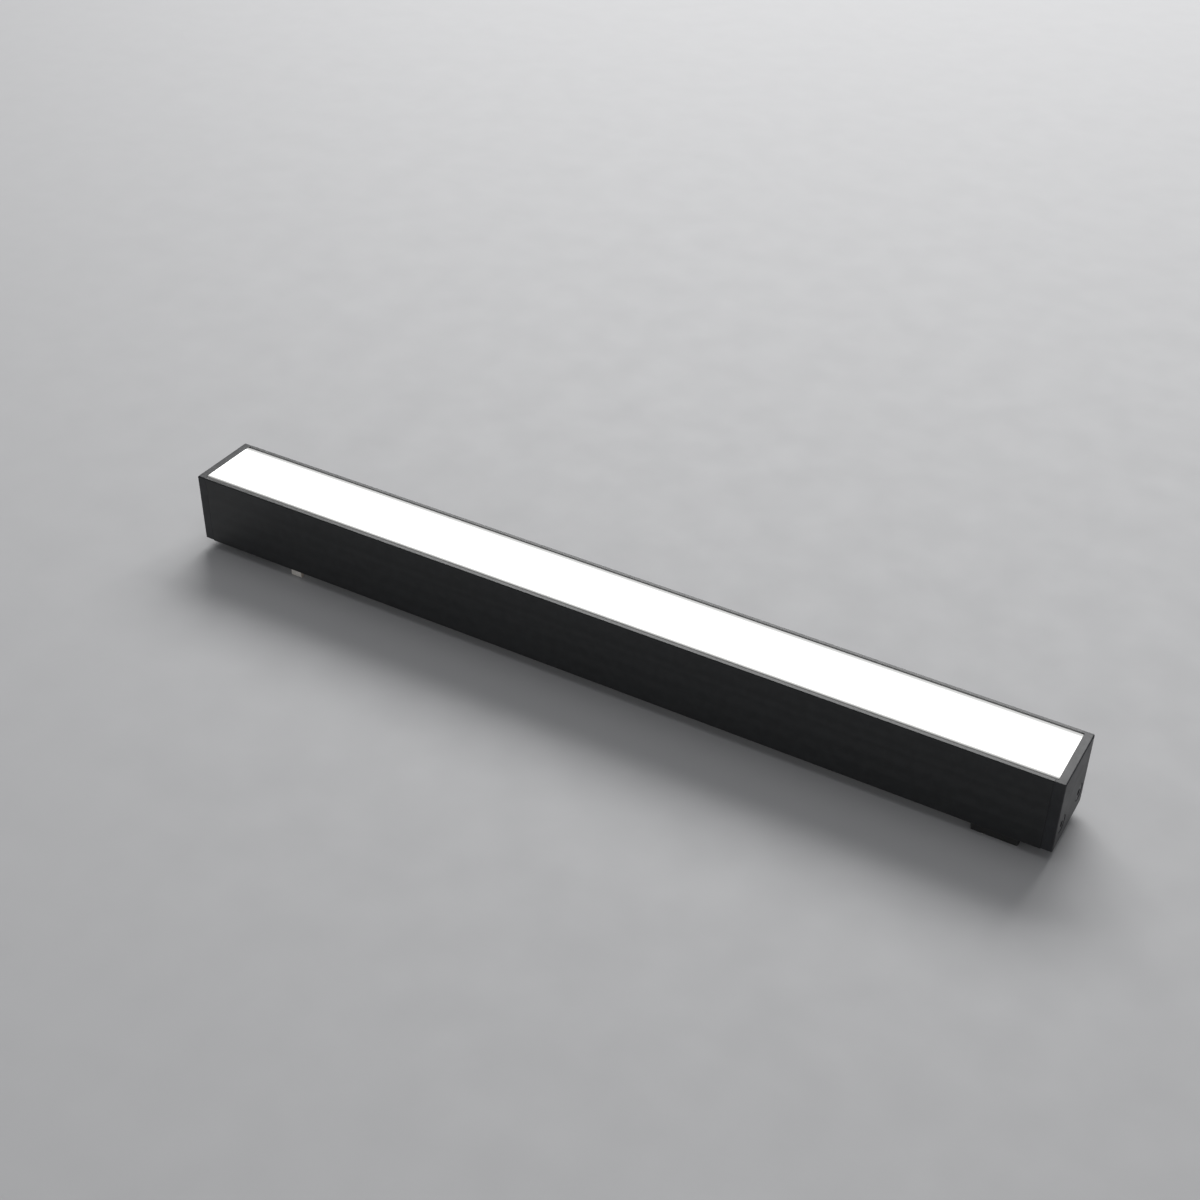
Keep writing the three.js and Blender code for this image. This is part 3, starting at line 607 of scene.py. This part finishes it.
# %% Board finishes
def board(name, mask_colour, track_colour, via_colour, pitch_mm, cover):
    material, tree, shader = finish(name, mask_colour, 0.42, Coat_Weight=0.15)
    tracks = apply_effect(tree, board_tracks, Pitch=pitch_mm, Cover=cover)
    texture = apply_effect(tree, grain, Size=0.2)
    colour = blend(tree, times(tree, tracks["Track"], 0.85), mask_colour, track_colour)
    colour = blend(tree, tracks["Via"], colour, via_colour)
    set_colour(tree, shader, colour)
    set_roughness(tree, shader, texture["Shade"], 0.34, 0.5)
    bump(tree, shader, tracks["Track"], 0.03)
    return material


white_board = board("white_board", (0.80, 0.80, 0.77), (0.70, 0.71, 0.68), (0.45, 0.43, 0.36), 1.6, 0.62)
green_board = board("green_board", (0.012, 0.085, 0.030), (0.02, 0.14, 0.048), (0.52, 0.42, 0.2), 0.5, 0.52)
print("made", white_board.name, green_board.name)

# %% [markdown]
# ## Electronic parts and leads
# Sleeves, chips, connectors and insulation are all plastics with a light grain, told apart by colour and
# gloss. A capacitor's sleeve also has a pale stripe along its negative side and leaves the can's end
# bare.

# %% Component finishes
def plain_plastic(name, colour, roughness, grain_mm=0.3, depth_mm=0.006, vary=0.15):
    material, tree, shader = finish(name, colour, roughness)
    texture = apply_effect(tree, grain, Size=grain_mm)
    darker = tuple(c * (1 - vary) for c in colour)
    lighter = tuple(min(1.0, c * (1 + vary)) for c in colour)
    set_colour(tree, shader, blend(tree, ramp(tree, texture["Shade"], 0.3, 0.7), darker, lighter))
    set_roughness(tree, shader, texture["Shade"], roughness - 0.06, roughness + 0.1)
    bump(tree, shader, texture["Height"], depth_mm)
    return material


def capacitor_sleeve(node):
    sleeve = (0.016, 0.021, 0.030)
    material, tree, shader = finish(f"sleeve_{node}", sleeve, 0.3, Coat_Weight=0.4)
    middle, half = box_of(node)
    place = split(tree, vector_calc(tree, "SUBTRACT", own_place(tree), middle))
    angle = calc(tree, "ARCTAN2", place[1], place[2])
    stripe = calc(tree, "LESS_THAN", calc(tree, "ABSOLUTE", minus(tree, angle, 0.9)), 0.32)
    radius = calc(tree, "SQRT", plus(tree, *(calc(tree, "POWER", place[i], 2.0) for i in (1, 2))))
    at_end = calc(tree, "GREATER_THAN", place[0], half.x - 0.3 * MM)
    bare_end = times(tree, at_end, calc(tree, "LESS_THAN", radius, half.y - 0.7 * MM))
    colour = blend(tree, stripe, sleeve, (0.42, 0.45, 0.48))
    set_colour(tree, shader, blend(tree, bare_end, colour, (0.62, 0.62, 0.62)))
    tree.links.new(bare_end, shader.inputs["Metallic"])
    texture = apply_effect(tree, grain, Size=0.6)
    set_roughness(tree, shader, texture["Shade"], 0.24, 0.4)
    bump(tree, shader, texture["Height"], 0.008)
    return material


ferrite = plain_plastic("ferrite", (0.045, 0.044, 0.043), 0.7, 0.2, 0.02, 0.3)
chip_plastic = plain_plastic("chip_plastic", (0.011, 0.011, 0.012), 0.5, 0.15, 0.012)
connector_plastic = plain_plastic("connector_plastic", (0.74, 0.70, 0.58), 0.42)
red_insulation = plain_plastic("red_insulation", (0.38, 0.018, 0.013), 0.42, 0.5)
black_insulation = plain_plastic("black_insulation", (0.012, 0.012, 0.012), 0.42, 0.5)
led_body = plain_plastic("led_body", (0.82, 0.81, 0.77), 0.45, 0.2)
led_phosphor = plain_plastic("led_phosphor", (0.80, 0.60, 0.10), 0.35, 0.15)
resistor_ceramic = plain_plastic("resistor_ceramic", (0.02, 0.02, 0.022), 0.4, 0.15)
capacitor_ceramic = plain_plastic("capacitor_ceramic", (0.36, 0.24, 0.13), 0.5, 0.15)
sleeves = {node: capacitor_sleeve(node) for node in ("input_capacitor", "output_capacitor")}
print("made the component finishes")

# %% [markdown]
# ## Finishes onto the parts
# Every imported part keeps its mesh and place. It only gets its finish, and modifiers that soften what a
# real part never has, which is a perfectly sharp edge: Weld joins its loose triangles, Bevel rounds the
# edges that turn by more than a set angle, and Weighted Normal keeps the flat faces flat.

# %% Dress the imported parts
FINISH_OF = {
    "housing_profile": anodised,
    "end_cap_left": cap_plastic["left"],
    "end_cap_right": cap_plastic["right"],
    "diffuser": opal,
    "led_board": white_board,
    "driver_board": green_board,
    "inductor": ferrite,
    "driver_chip": chip_plastic,
    "rectifier_diode": chip_plastic,
    **cover_plastic,
    **sleeves,
}
FINISH_BY_START = {
    "cap_screw": black_oxide,
    "holder_screw": black_oxide,
    "contact_spring": spring_wire,
    "contact_terminal": brass,
    "contact_front": contact_plating,
    "contact_rear": contact_plating,
    "magnet_left": magnet_plating,
    "magnet_right": magnet_plating,
}
FINISH_BY_END = {
    "_connector": connector_plastic,
    "lead_front": black_insulation,
    "lead_rear": red_insulation,
}
for name in parts:
    FINISH_OF.update({name: chosen for start, chosen in FINISH_BY_START.items() if name.startswith(start)})
    FINISH_OF.update({name: chosen for end, chosen in FINISH_BY_END.items() if name.endswith(end)})

EDGE = 0.1 * MM
FINER_EDGE = 0.08 * MM
FINER_PARTS = ("end_cap_left", "end_cap_right", "diffuser")
SHARP_TURN = math.radians(35)
UNSOFTENED = ("contact_spring", "input_lead", "led_lead")


def soften(part, width):
    weld = part.modifiers.new("weld", "WELD")
    weld.merge_threshold = 0.001 * MM
    edge = part.modifiers.new("edge", "BEVEL")
    edge.width = width
    edge.segments = 2
    edge.limit_method = "ANGLE"
    edge.angle_limit = SHARP_TURN
    edge.use_clamp_overlap = True
    smooth = part.modifiers.new("smooth", "WEIGHTED_NORMAL")
    smooth.keep_sharp = False


for name, part in parts.items():
    part.material_slots[0].material = FINISH_OF[name]
    part.data.shade_smooth()
    if not name.startswith(UNSOFTENED):
        soften(part, FINER_EDGE if name in FINER_PARTS else EDGE)
print(f"dressed {len(parts)} parts")

# %% [markdown]
# ## Helpers for shape trees
# What repeats or follows a path is grown by Geometry Nodes instead of being modelled one by one. A shape
# tree has named inputs for its sizes. It's put on a seed mesh, its inputs are set, and the result is kept
# as a plain mesh, so that the finished piece needs no modifier. Each piece is then tied to the body that
# it moves with.

# %% Shape tree helpers
SHAPE_KINDS = {
    "shape": "NodeSocketGeometry",
    "whole": "NodeSocketInt",
    "number": "NodeSocketFloat",
    "vector": "NodeSocketVector",
    "finish": "NodeSocketMaterial",
}


def shape_tree(name, inputs):
    tree = bpy.data.node_groups.new(name, "GeometryNodeTree")
    for label, kind in {"Seed Mesh": "shape", **inputs}.items():
        tree.interface.new_socket(label, in_out="INPUT", socket_type=SHAPE_KINDS[kind])
    tree.interface.new_socket("Shape", in_out="OUTPUT", socket_type=SHAPE_KINDS["shape"])
    return tree, tree.nodes.new("NodeGroupInput").outputs


def shape_node(tree, kind, values, **settings):
    """The first output of a new geometry node."""
    return add(tree, "GeometryNode" + kind, values, **settings).outputs[0]


def paint(tree, shape, material, only=True):
    return shape_node(tree, "SetMaterial", {"Geometry": shape, "Material": material, "Selection": only})


def end_tree(tree, shape, *paints):
    """Makes the instances real, and gives the finishes: each is (material) or (material, selection)."""
    shape = shape_node(tree, "RealizeInstances", {"Geometry": shape})
    for chosen in paints:
        shape = paint(tree, shape, *chosen)
    tree.links.new(shape, tree.nodes.new("NodeGroupOutput").inputs[0])
    return tree


def copied(tree, points, shape, **values):
    return shape_node(tree, "InstanceOnPoints", {"Points": points, "Instance": shape, **values})


def shifted(tree, shape, way):
    return shape_node(tree, "Transform", {"Geometry": shape, "Translation": way})


def swept(tree, path, section):
    """A closed solid: the section drawn along the path."""
    ends = {"Curve": path, "Profile Curve": section, "Fill Caps": True}
    return shape_node(tree, "CurveToMesh", ends)


def vector_of(tree, x=0.0, y=0.0, z=0.0):
    return add(tree, "ShaderNodeCombineXYZ", {"X": x, "Y": y, "Z": z}).outputs[0]


def line_of_points(tree, count, first, pitch):
    steps = {"Count": count, "Start Location": first, "Offset": vector_of(tree, pitch)}
    return shape_node(tree, "MeshLine", steps)


def joined(tree, *shapes):
    node = tree.nodes.new("GeometryNodeJoinGeometry")
    for shape in reversed(shapes):
        tree.links.new(shape, node.inputs[0])
    return node.outputs[0]


def seed_mesh(points, edges=()):
    mesh = bpy.data.meshes.new("seed")
    mesh.from_pydata([Vector(p) * MM for p in points], edges, [])
    return mesh


def grown(name, tree, values, body, seed=None):
    """The piece that a tree makes from these values, tied to its body."""
    start = bpy.data.objects.new("seed", seed or bpy.data.meshes.new("seed"))
    scene.collection.objects.link(start)
    modifier = start.modifiers.new("shape", "NODES")
    modifier.node_group = tree
    for item in tree.interface.items_tree:
        if item.in_out == "INPUT" and item.name in values:
            modifier[item.identifier] = values[item.name]
    modified = start.evaluated_get(bpy.context.evaluated_depsgraph_get())
    mesh = bpy.data.meshes.new_from_object(modified)
    bpy.data.objects.remove(start)
    mesh.name = name
    drop_empty_slot(mesh)
    return tied(name, mesh, body)


def drop_empty_slot(mesh):
    """Primitives inside a tree bring an empty first material slot, which no face uses in the end."""
    if mesh.materials[0] is None:
        used = list(mesh.materials)[1:]
        indices = [face.material_index - 1 for face in mesh.polygons]
        mesh.materials.clear()
        for material in used:
            mesh.materials.append(material)
        mesh.polygons.foreach_set("material_index", indices)


def tied(name, mesh, body):
    piece = bpy.data.objects.new(name, mesh)
    scene.collection.objects.link(piece)
    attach(piece, body)
    print(f"{name}: {len(mesh.polygons)} faces, {len(mesh.materials)} finishes")
    return piece


# %% [markdown]
# ## LEDs
# A surface-mount LED is a white cup with a yellow phosphor window sunk into its top. The tree makes one
# from a cube whose top is drawn in and pushed down, and a line of points puts it along the board. The
# window is chosen by the faces that the last push moved, so it gets its own finish.

# %% LEDs
def make_led_row():
    inputs = {"Count": "whole", "First": "vector", "Pitch": "number", "Size": "vector", "Body": "finish"}
    tree, given = shape_tree("led_row", {**inputs, "Window": "finish"})
    cube = shape_node(tree, "MeshCube", {"Size": given["Size"]})
    normal = tree.nodes.new("GeometryNodeInputNormal").outputs[0]
    top = calc(tree, "GREATER_THAN", split(tree, normal)[2], 0.5)
    inset = add(tree, "GeometryNodeExtrudeMesh", {"Mesh": cube, "Selection": top, "Offset Scale": 0.0})
    smaller = {"Geometry": inset.outputs["Mesh"], "Selection": inset.outputs["Top"], "Scale": 0.78}
    drawn_in = shape_node(tree, "ScaleElements", smaller)
    sinking = {"Mesh": drawn_in, "Selection": inset.outputs["Top"], "Offset Scale": -0.12 * MM}
    sunk = add(tree, "GeometryNodeExtrudeMesh", sinking)
    marked = {"Geometry": sunk.outputs["Mesh"], "Name": "window", "Value": sunk.outputs["Top"]}
    led = shape_node(tree, "StoreNamedAttribute", marked, data_type="BOOLEAN", domain="FACE")
    line = line_of_points(tree, given["Count"], given["First"], given["Pitch"])
    row = copied(tree, line, led)
    window = shape_node(tree, "InputNamedAttribute", {"Name": "window"}, data_type="BOOLEAN")
    return end_tree(tree, row, (given["Body"],), (given["Window"], window))


LED_COUNT = 47
LED_SIZE = Vector((2.8, 3.5, 0.8)) * MM
led_board_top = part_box("led_board")[1].z
first_led = Vector((-(LED_COUNT - 1) / 2 * LED_PITCH, 0, led_board_top + LED_SIZE.z / 2))
led_values = {"Count": LED_COUNT, "First": first_led, "Pitch": LED_PITCH, "Size": LED_SIZE}
led_values |= {"Body": led_body, "Window": led_phosphor}
grown("leds", make_led_row(), led_values, "housing")

# %% [markdown]
# ## Small passives
# Resistors and ceramic capacitors are the same little block: a body between two soldered ends. They stand
# in a row on the LED board, and in scattered groups on the driver board, where a fixed seed decides which
# places of a coarse grid stay empty and how each part is turned.

# %% Passives
def block_part(tree, size, body, ends):
    """A passive as three boxes: its body, and an end that is slightly larger at each side."""
    sizes = split(tree, size)
    body_size = vector_calc(tree, "MULTIPLY", size, (0.62, 1.0, 0.96))
    middle = shape_node(tree, "MeshCube", {"Size": body_size})
    shapes = [paint(tree, middle, body)]
    end_size = vector_calc(tree, "MULTIPLY", size, (0.2, 1.04, 1.0))
    for side in (-0.4, 0.4):
        end = shape_node(tree, "MeshCube", {"Size": end_size})
        away = vector_of(tree, times(tree, sizes[0], side))
        shapes.append(paint(tree, shifted(tree, end, away), ends))
    return joined(tree, *shapes)


def make_passive_row():
    inputs = {"Count": "whole", "First": "vector", "Pitch": "number", "Size": "vector"}
    tree, given = shape_tree("passive_row", {**inputs, "Body": "finish", "Ends": "finish"})
    block = block_part(tree, given["Size"], given["Body"], given["Ends"])
    line = line_of_points(tree, given["Count"], given["First"], given["Pitch"])
    return end_tree(tree, copied(tree, line, block))


def chance(tree, probability, seed):
    values = {"Probability": probability, "Seed": seed}
    return add(tree, "FunctionNodeRandomValue", values, data_type="BOOLEAN").outputs[3]


def make_passive_field():
    inputs = {"Place": "vector", "Wide": "number", "Deep": "number", "Across": "whole", "Along": "whole"}
    inputs |= {"Seed": "whole", "Size": "vector", "Body": "finish", "Ends": "finish"}
    tree, given = shape_tree("passive_field", inputs)
    block = block_part(tree, given["Size"], given["Body"], given["Ends"])
    spans = {"Size X": given["Wide"], "Size Y": given["Deep"]}
    counts = {"Vertices X": given["Along"], "Vertices Y": given["Across"]}
    field = shape_node(tree, "MeshGrid", {**spans, **counts})
    placed = shifted(tree, field, given["Place"])
    removal = {"Geometry": placed, "Selection": chance(tree, 0.3, given["Seed"])}
    kept = shape_node(tree, "DeleteGeometry", removal)
    turned = chance(tree, 0.5, given["Seed"])
    quarter = vector_of(tree, z=times(tree, turned, math.pi / 2))
    return end_tree(tree, copied(tree, kept, block, Rotation=quarter))


RESISTOR = Vector((2.0, 1.25, 0.5)) * MM
row_values = {"Count": 8, "First": Vector((-126, -6.2, 0)) * MM, "Pitch": 36 * MM, "Size": RESISTOR}
row_values["First"].z = led_board_top + RESISTOR.z / 2
row_values |= {"Body": resistor_ceramic, "Ends": solder}
grown("led_resistors", make_passive_row(), row_values, "housing")

driver_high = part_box("driver_board")[1]
SMALL = Vector((1.6, 0.8, 0.5)) * MM
passive_field = make_passive_field()
FIELDS = (  # middle and width along the board in mm, parts along it, and body finish
    ("filter_parts", -80.5, 6, 3, capacitor_ceramic),
    ("feedback_parts", -31.5, 4, 2, resistor_ceramic),
    ("snubber_parts", -13.5, 9, 5, capacitor_ceramic),
    ("output_parts", 20.5, 18, 8, resistor_ceramic),
)
for seed, (name, middle_mm, wide_mm, along, body) in enumerate(FIELDS, 1):
    values = {"Place": Vector((middle_mm * MM, 0, driver_high.z + SMALL.z / 2)), "Wide": wide_mm * MM}
    values |= {"Deep": 8.4 * MM, "Across": 4, "Along": along, "Seed": seed, "Size": SMALL}
    grown(name, passive_field, {**values, "Body": body, "Ends": solder}, "housing")

# %% [markdown]
# ## Chip legs
# A gull-wing leg leaves the package level, bends down and lies flat on its pad. A flat section is swept
# along that path, and a line of points copies the leg along one side. The other side is the same row
# turned half round.

# %% Chip legs
def make_leg_rows():
    inputs = {"Count": "whole", "Pitch": "number", "Middle": "vector", "Wide": "number", "Thick": "number"}
    tree, given = shape_tree("leg_rows", {**inputs, "Finish": "finish"})
    path = shape_node(tree, "MeshToCurve", {"Mesh": given["Seed Mesh"]})
    flat = {"Width": given["Wide"], "Height": given["Thick"]}
    section = shape_node(tree, "CurvePrimitiveQuadrilateral", flat)
    leg = swept(tree, path, section)
    half_row = times(tree, minus(tree, given["Count"], 1.0), given["Pitch"])
    start = vector_of(tree, times(tree, half_row, -0.5))
    line = line_of_points(tree, given["Count"], start, given["Pitch"])
    row = copied(tree, line, leg)
    other = shape_node(tree, "Transform", {"Geometry": row, "Rotation": (0, 0, math.pi)})
    return end_tree(tree, shifted(tree, joined(tree, row, other), given["Middle"]), (given["Finish"],))


def leg_path(half_deep, high, reach):
    points = ((0, half_deep - 0.15, high), (0, half_deep + 0.3, high), (0, half_deep + 0.5, 0.1))
    return seed_mesh([*points, (0, half_deep + reach, 0.08)], [(0, 1), (1, 2), (2, 3)])


leg_rows = make_leg_rows()
LEGS = (  # package, legs a side, pitch, leg width and its height on the package, all in mm
    ("chip_legs", "driver_chip", 4, 1.1, 0.4, 0.8),
    ("diode_legs", "rectifier_diode", 1, 1.0, 3.0, 0.9),
)
for name, package, count, pitch_mm, wide_mm, high_mm in LEGS:
    middle, half = box_of(package)
    foot = Vector((middle.x, 0, driver_high.z + 0.02 * MM))
    values = {"Count": count, "Pitch": pitch_mm * MM, "Middle": foot}
    values |= {"Wide": wide_mm * MM, "Thick": 0.15 * MM, "Finish": solder}
    path = leg_path(half.y / MM, high_mm, 1.1)
    grown(name, leg_rows, values, "housing", path)

# %% [markdown]
# ## Solder joints
# A joint is a low cone with a hollow flank, wide on its pad. A curve of that shape could be turned round
# an axis; here a cone's side rings are drawn in, which does the same. Each joint stands on a point of the
# seed mesh.

# %% Solder joints
def make_joints():
    tree, given = shape_tree("solder_joints", {"Radius": "number", "High": "number", "Finish": "finish"})
    tip = times(tree, given["Radius"], 0.35)
    sizes = {"Radius Top": tip, "Radius Bottom": given["Radius"], "Depth": given["High"]}
    counts = {"Vertices": 14, "Side Segments": 4}
    cone = shape_node(tree, "MeshCone", {**sizes, **counts})
    here = tree.nodes.new("GeometryNodeInputPosition").outputs[0]
    level = over(tree, split(tree, here)[2], given["High"])
    hollow = times(tree, minus(tree, 1.0, level), level)
    share = minus(tree, 1.0, times(tree, hollow, 1.1))
    drawn_in = vector_calc(tree, "MULTIPLY", here, vector_of(tree, share, share, 1.0))
    joint = shape_node(tree, "SetPosition", {"Geometry": cone, "Position": drawn_in})
    smooth = shape_node(tree, "SetShadeSmooth", {"Geometry": joint})
    return end_tree(tree, copied(tree, given["Seed Mesh"], smooth), (given["Finish"],))


PIN_OUT = 0.75  # millimetres from a connector's end to its pins
PIN_HALF_PITCH = 1.3
CAN_LEG_OUT = 1.6  # millimetres from a capacitor's end to its legs
CAN_LEG_HALF_PITCH = 1.8
BOARD_MIDDLE_X = -0.03  # metres, roughly: the connectors' pins are on the side that faces it
solder_joints = make_joints()
lead_end_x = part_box("led_lead_rear")[1].x / MM
LED_PADS = [(lead_end_x - 0.6, y, led_board_top / MM) for y in (5.2, 7.0)]
joint_values = {"Radius": 0.85 * MM, "High": 1.0 * MM, "Finish": solder}
grown("led_board_joints", solder_joints, joint_values, "housing", seed_mesh(LED_PADS))

pins = []
for node in ("input_connector", "output_connector"):
    middle, half = box_of(node)
    inner_x = middle.x / MM + math.copysign(half.x / MM + PIN_OUT, BOARD_MIDDLE_X - middle.x)
    pins += [(inner_x, side * PIN_HALF_PITCH, driver_high.z / MM) for side in (-1, 1)]
for node in ("input_capacitor", "output_capacitor"):
    low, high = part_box(node)
    pins += [(low.x / MM - CAN_LEG_OUT, side * CAN_LEG_HALF_PITCH, driver_high.z / MM) for side in (-1, 1)]
joint_values = {"Radius": 0.6 * MM, "High": 0.55 * MM, "Finish": solder}
grown("driver_joints", solder_joints, joint_values, "housing", seed_mesh(pins))

# %% [markdown]
# ## Coils
# Springs and a choke's winding are one shape: a section swept along a helix. The tree bends the
# helix's own height, so that a spring's first and last turns lie flat, which is how a real one
# is closed.

# %% Coils
def make_coil():
    inputs = {"Middle": "vector", "Radius": "number", "High": "number", "Turns": "number", "Wire": "number"}
    tree, given = shape_tree("coil", {**inputs, "Closed": "number", "Finish": "finish"})
    helix = {"Resolution": 26, "Rotations": given["Turns"], "Start Radius": given["Radius"]}
    helix |= {"End Radius": given["Radius"], "Height": given["High"]}
    curve = shape_node(tree, "CurveSpiral", helix)
    here = split(tree, tree.nodes.new("GeometryNodeInputPosition").outputs[0])
    along = over(tree, here[2], given["High"])
    free = minus(tree, 1.0, times(tree, given["Closed"], 2.0))
    risen = over(tree, minus(tree, along, given["Closed"]), free, clamp=True)
    height = times(tree, risen, given["High"])
    placed = vector_calc(tree, "ADD", vector_of(tree, here[0], here[1], height), given["Middle"])
    bent = shape_node(tree, "SetPosition", {"Geometry": curve, "Position": placed})
    wire = {"Resolution": 8, "Radius": given["Wire"]}
    section = shape_node(tree, "CurvePrimitiveCircle", wire)
    smooth = shape_node(tree, "SetShadeSmooth", {"Geometry": swept(tree, bent, section)})
    return end_tree(tree, smooth, (given["Finish"],))


coil = make_coil()
SPRING_WIRE = 0.2 * MM
for side in ("front", "rear"):
    node = f"contact_spring_{side}"
    low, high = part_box(node)
    middle = (low + high) / 2
    middle.z = low.z + SPRING_WIRE
    values = {"Middle": middle, "Radius": (high.x - low.x) / 2 - SPRING_WIRE, "Turns": 5.5, "Closed": 0.1}
    values |= {"High": high.z - low.z - 2 * SPRING_WIRE, "Wire": SPRING_WIRE, "Finish": spring_wire}
    spring = grown(f"spring_{side}", coil, values, "housing")
    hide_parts(node)
    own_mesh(spring)

WINDING_WIRE = 0.28 * MM
WINDING_RADIUS = 4.16 * MM
WINDING_HIGH = 2.34 * MM
middle, half = box_of("inductor")
winding_low = middle.z - WINDING_HIGH / 2
values = {"Middle": Vector((middle.x, middle.y, winding_low)), "Radius": WINDING_RADIUS, "High": WINDING_HIGH}
values |= {"Turns": 4.2, "Wire": WINDING_WIRE, "Closed": 0.0, "Finish": enamelled_copper}
grown("winding", coil, values, "housing")

# %% [markdown]
# ## The cover's section
# The cover is extruded, so its shape is one rule: a section drawn along a straight line. Its outline is
# given as points, Fillet Curve rounds the corners, and Curve to Mesh draws it out over the length. It
# lays the outline's second direction downwards, so the heights are given as depths below the top. The
# legs end in barbs that snap under the housing's lips, and the thin flanges above them lie on the lips.

# %% Cover by its section
COVER_SECTION_MM = (  # from the middle outwards: distance across, and depth below the top
    (9.0, 1.4), (9.0, 3.9), (10.2, 3.9), (10.8, 2.9), (10.8, 2.5),
    (10.2, 2.3), (10.2, 0.6), (TOP_HALF / MM, 0.6), (TOP_HALF / MM, 0.0),
)


def make_swept_section():
    inputs = {"Half Length": "number", "Corner": "number", "Place": "vector", "Finish": "finish"}
    tree, given = shape_tree("swept_section", inputs)
    outline = shape_node(tree, "MeshToCurve", {"Mesh": given["Seed Mesh"]})
    rounding = {"Curve": outline, "Radius": given["Corner"], "Count": 3, "Limit Radius": True}
    rounded = shape_node(tree, "FilletCurve", rounding, mode="POLY")
    back = times(tree, given["Half Length"], -1.0)
    line = {"Start": vector_of(tree, back), "End": vector_of(tree, given["Half Length"])}
    path = shape_node(tree, "CurvePrimitiveLine", line)
    return end_tree(tree, shifted(tree, swept(tree, path, rounded), given["Place"]), (given["Finish"],))


half_section = [(y, depth, 0) for y, depth in reversed(COVER_SECTION_MM)]
other_half = [(-y, depth, 0) for y, depth in COVER_SECTION_MM]
section = other_half + half_section
ring = [(i, (i + 1) % len(section)) for i in range(len(section))]
values = {"Half Length": cover_high.x, "Corner": 0.06 * MM, "Finish": opal}
values["Place"] = Vector((0, 0, cover_high.z))
cover = grown("cover", make_swept_section(), values, "housing", seed_mesh(section, ring))
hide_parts("diffuser")

# %% [markdown]
# ## Floor
# A wide pale sheet of mesh, marked as stage so that it isn't counted as part of the bar. It has a soft,
# slightly uneven paper finish, and it can't be seen from below, where it would hide the underside.

# %% Floor
FLOOR_HALF = 3.0


def pale_paper():
    pale = (0.50, 0.50, 0.505)
    material, tree, shader = finish("pale_paper", pale, 0.6, Specular_IOR_Level=0.3)
    texture = apply_effect(tree, grain, Size=1.2)
    set_colour(tree, shader, blend(tree, texture["Shade"], pale, (0.475, 0.475, 0.48)))
    set_roughness(tree, shader, texture["Shade"], 0.55, 0.7)
    bump(tree, shader, texture["Height"], 0.01)
    clear = add(tree, "ShaderNodeBsdfTransparent")
    below = add(tree, "ShaderNodeNewGeometry").outputs["Backfacing"]
    mixed = add(tree, "ShaderNodeMixShader", {0: below, 1: shader.outputs[0], 2: clear.outputs[0]})
    tree.links.new(mixed.outputs[0], tree.nodes["Material Output"].inputs["Surface"])
    return material


sheet = bmesh.new()
bmesh.ops.create_grid(sheet, x_segments=4, y_segments=4, size=FLOOR_HALF)
floor_mesh = bpy.data.meshes.new("floor")
sheet.to_mesh(floor_mesh)
sheet.free()
floor_mesh.transform(Matrix.Translation((0, 0, cad_low.z)))
floor = bpy.data.objects.new("floor", floor_mesh)
floor.data.materials.append(pale_paper())
scene.collection.objects.link(floor)
floor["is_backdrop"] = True
print(f"the floor lies at z = {cad_low.z / MM:.2f} mm")

# %% [markdown]
# ## Light from below
# The bar lies on the floor, so its back would be black from below. A light under the floor is linked to
# what stands on the back, such as the covers and the magnets: only they receive it, and only the bar's own
# pieces can block it. The housing and the caps are left out, or their lower edges would shine in the main
# view.

# %% Light from below
BACK_PIECES = ("back_cover", "contact_block", "magnet", "holder_screw", "lock_slider")
received = bpy.data.collections.new("lit_from_below")
blocking = bpy.data.collections.new("bar_pieces")
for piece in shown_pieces():
    blocking.objects.link(piece)
    if piece.name.startswith(BACK_PIECES):
        received.objects.link(piece)
below = softbox("below_softbox", (0, 0.2, -0.9), 0.28, 0.4, 12)
below.light_linking.receiver_collection = received
below.light_linking.blocker_collection = blocking
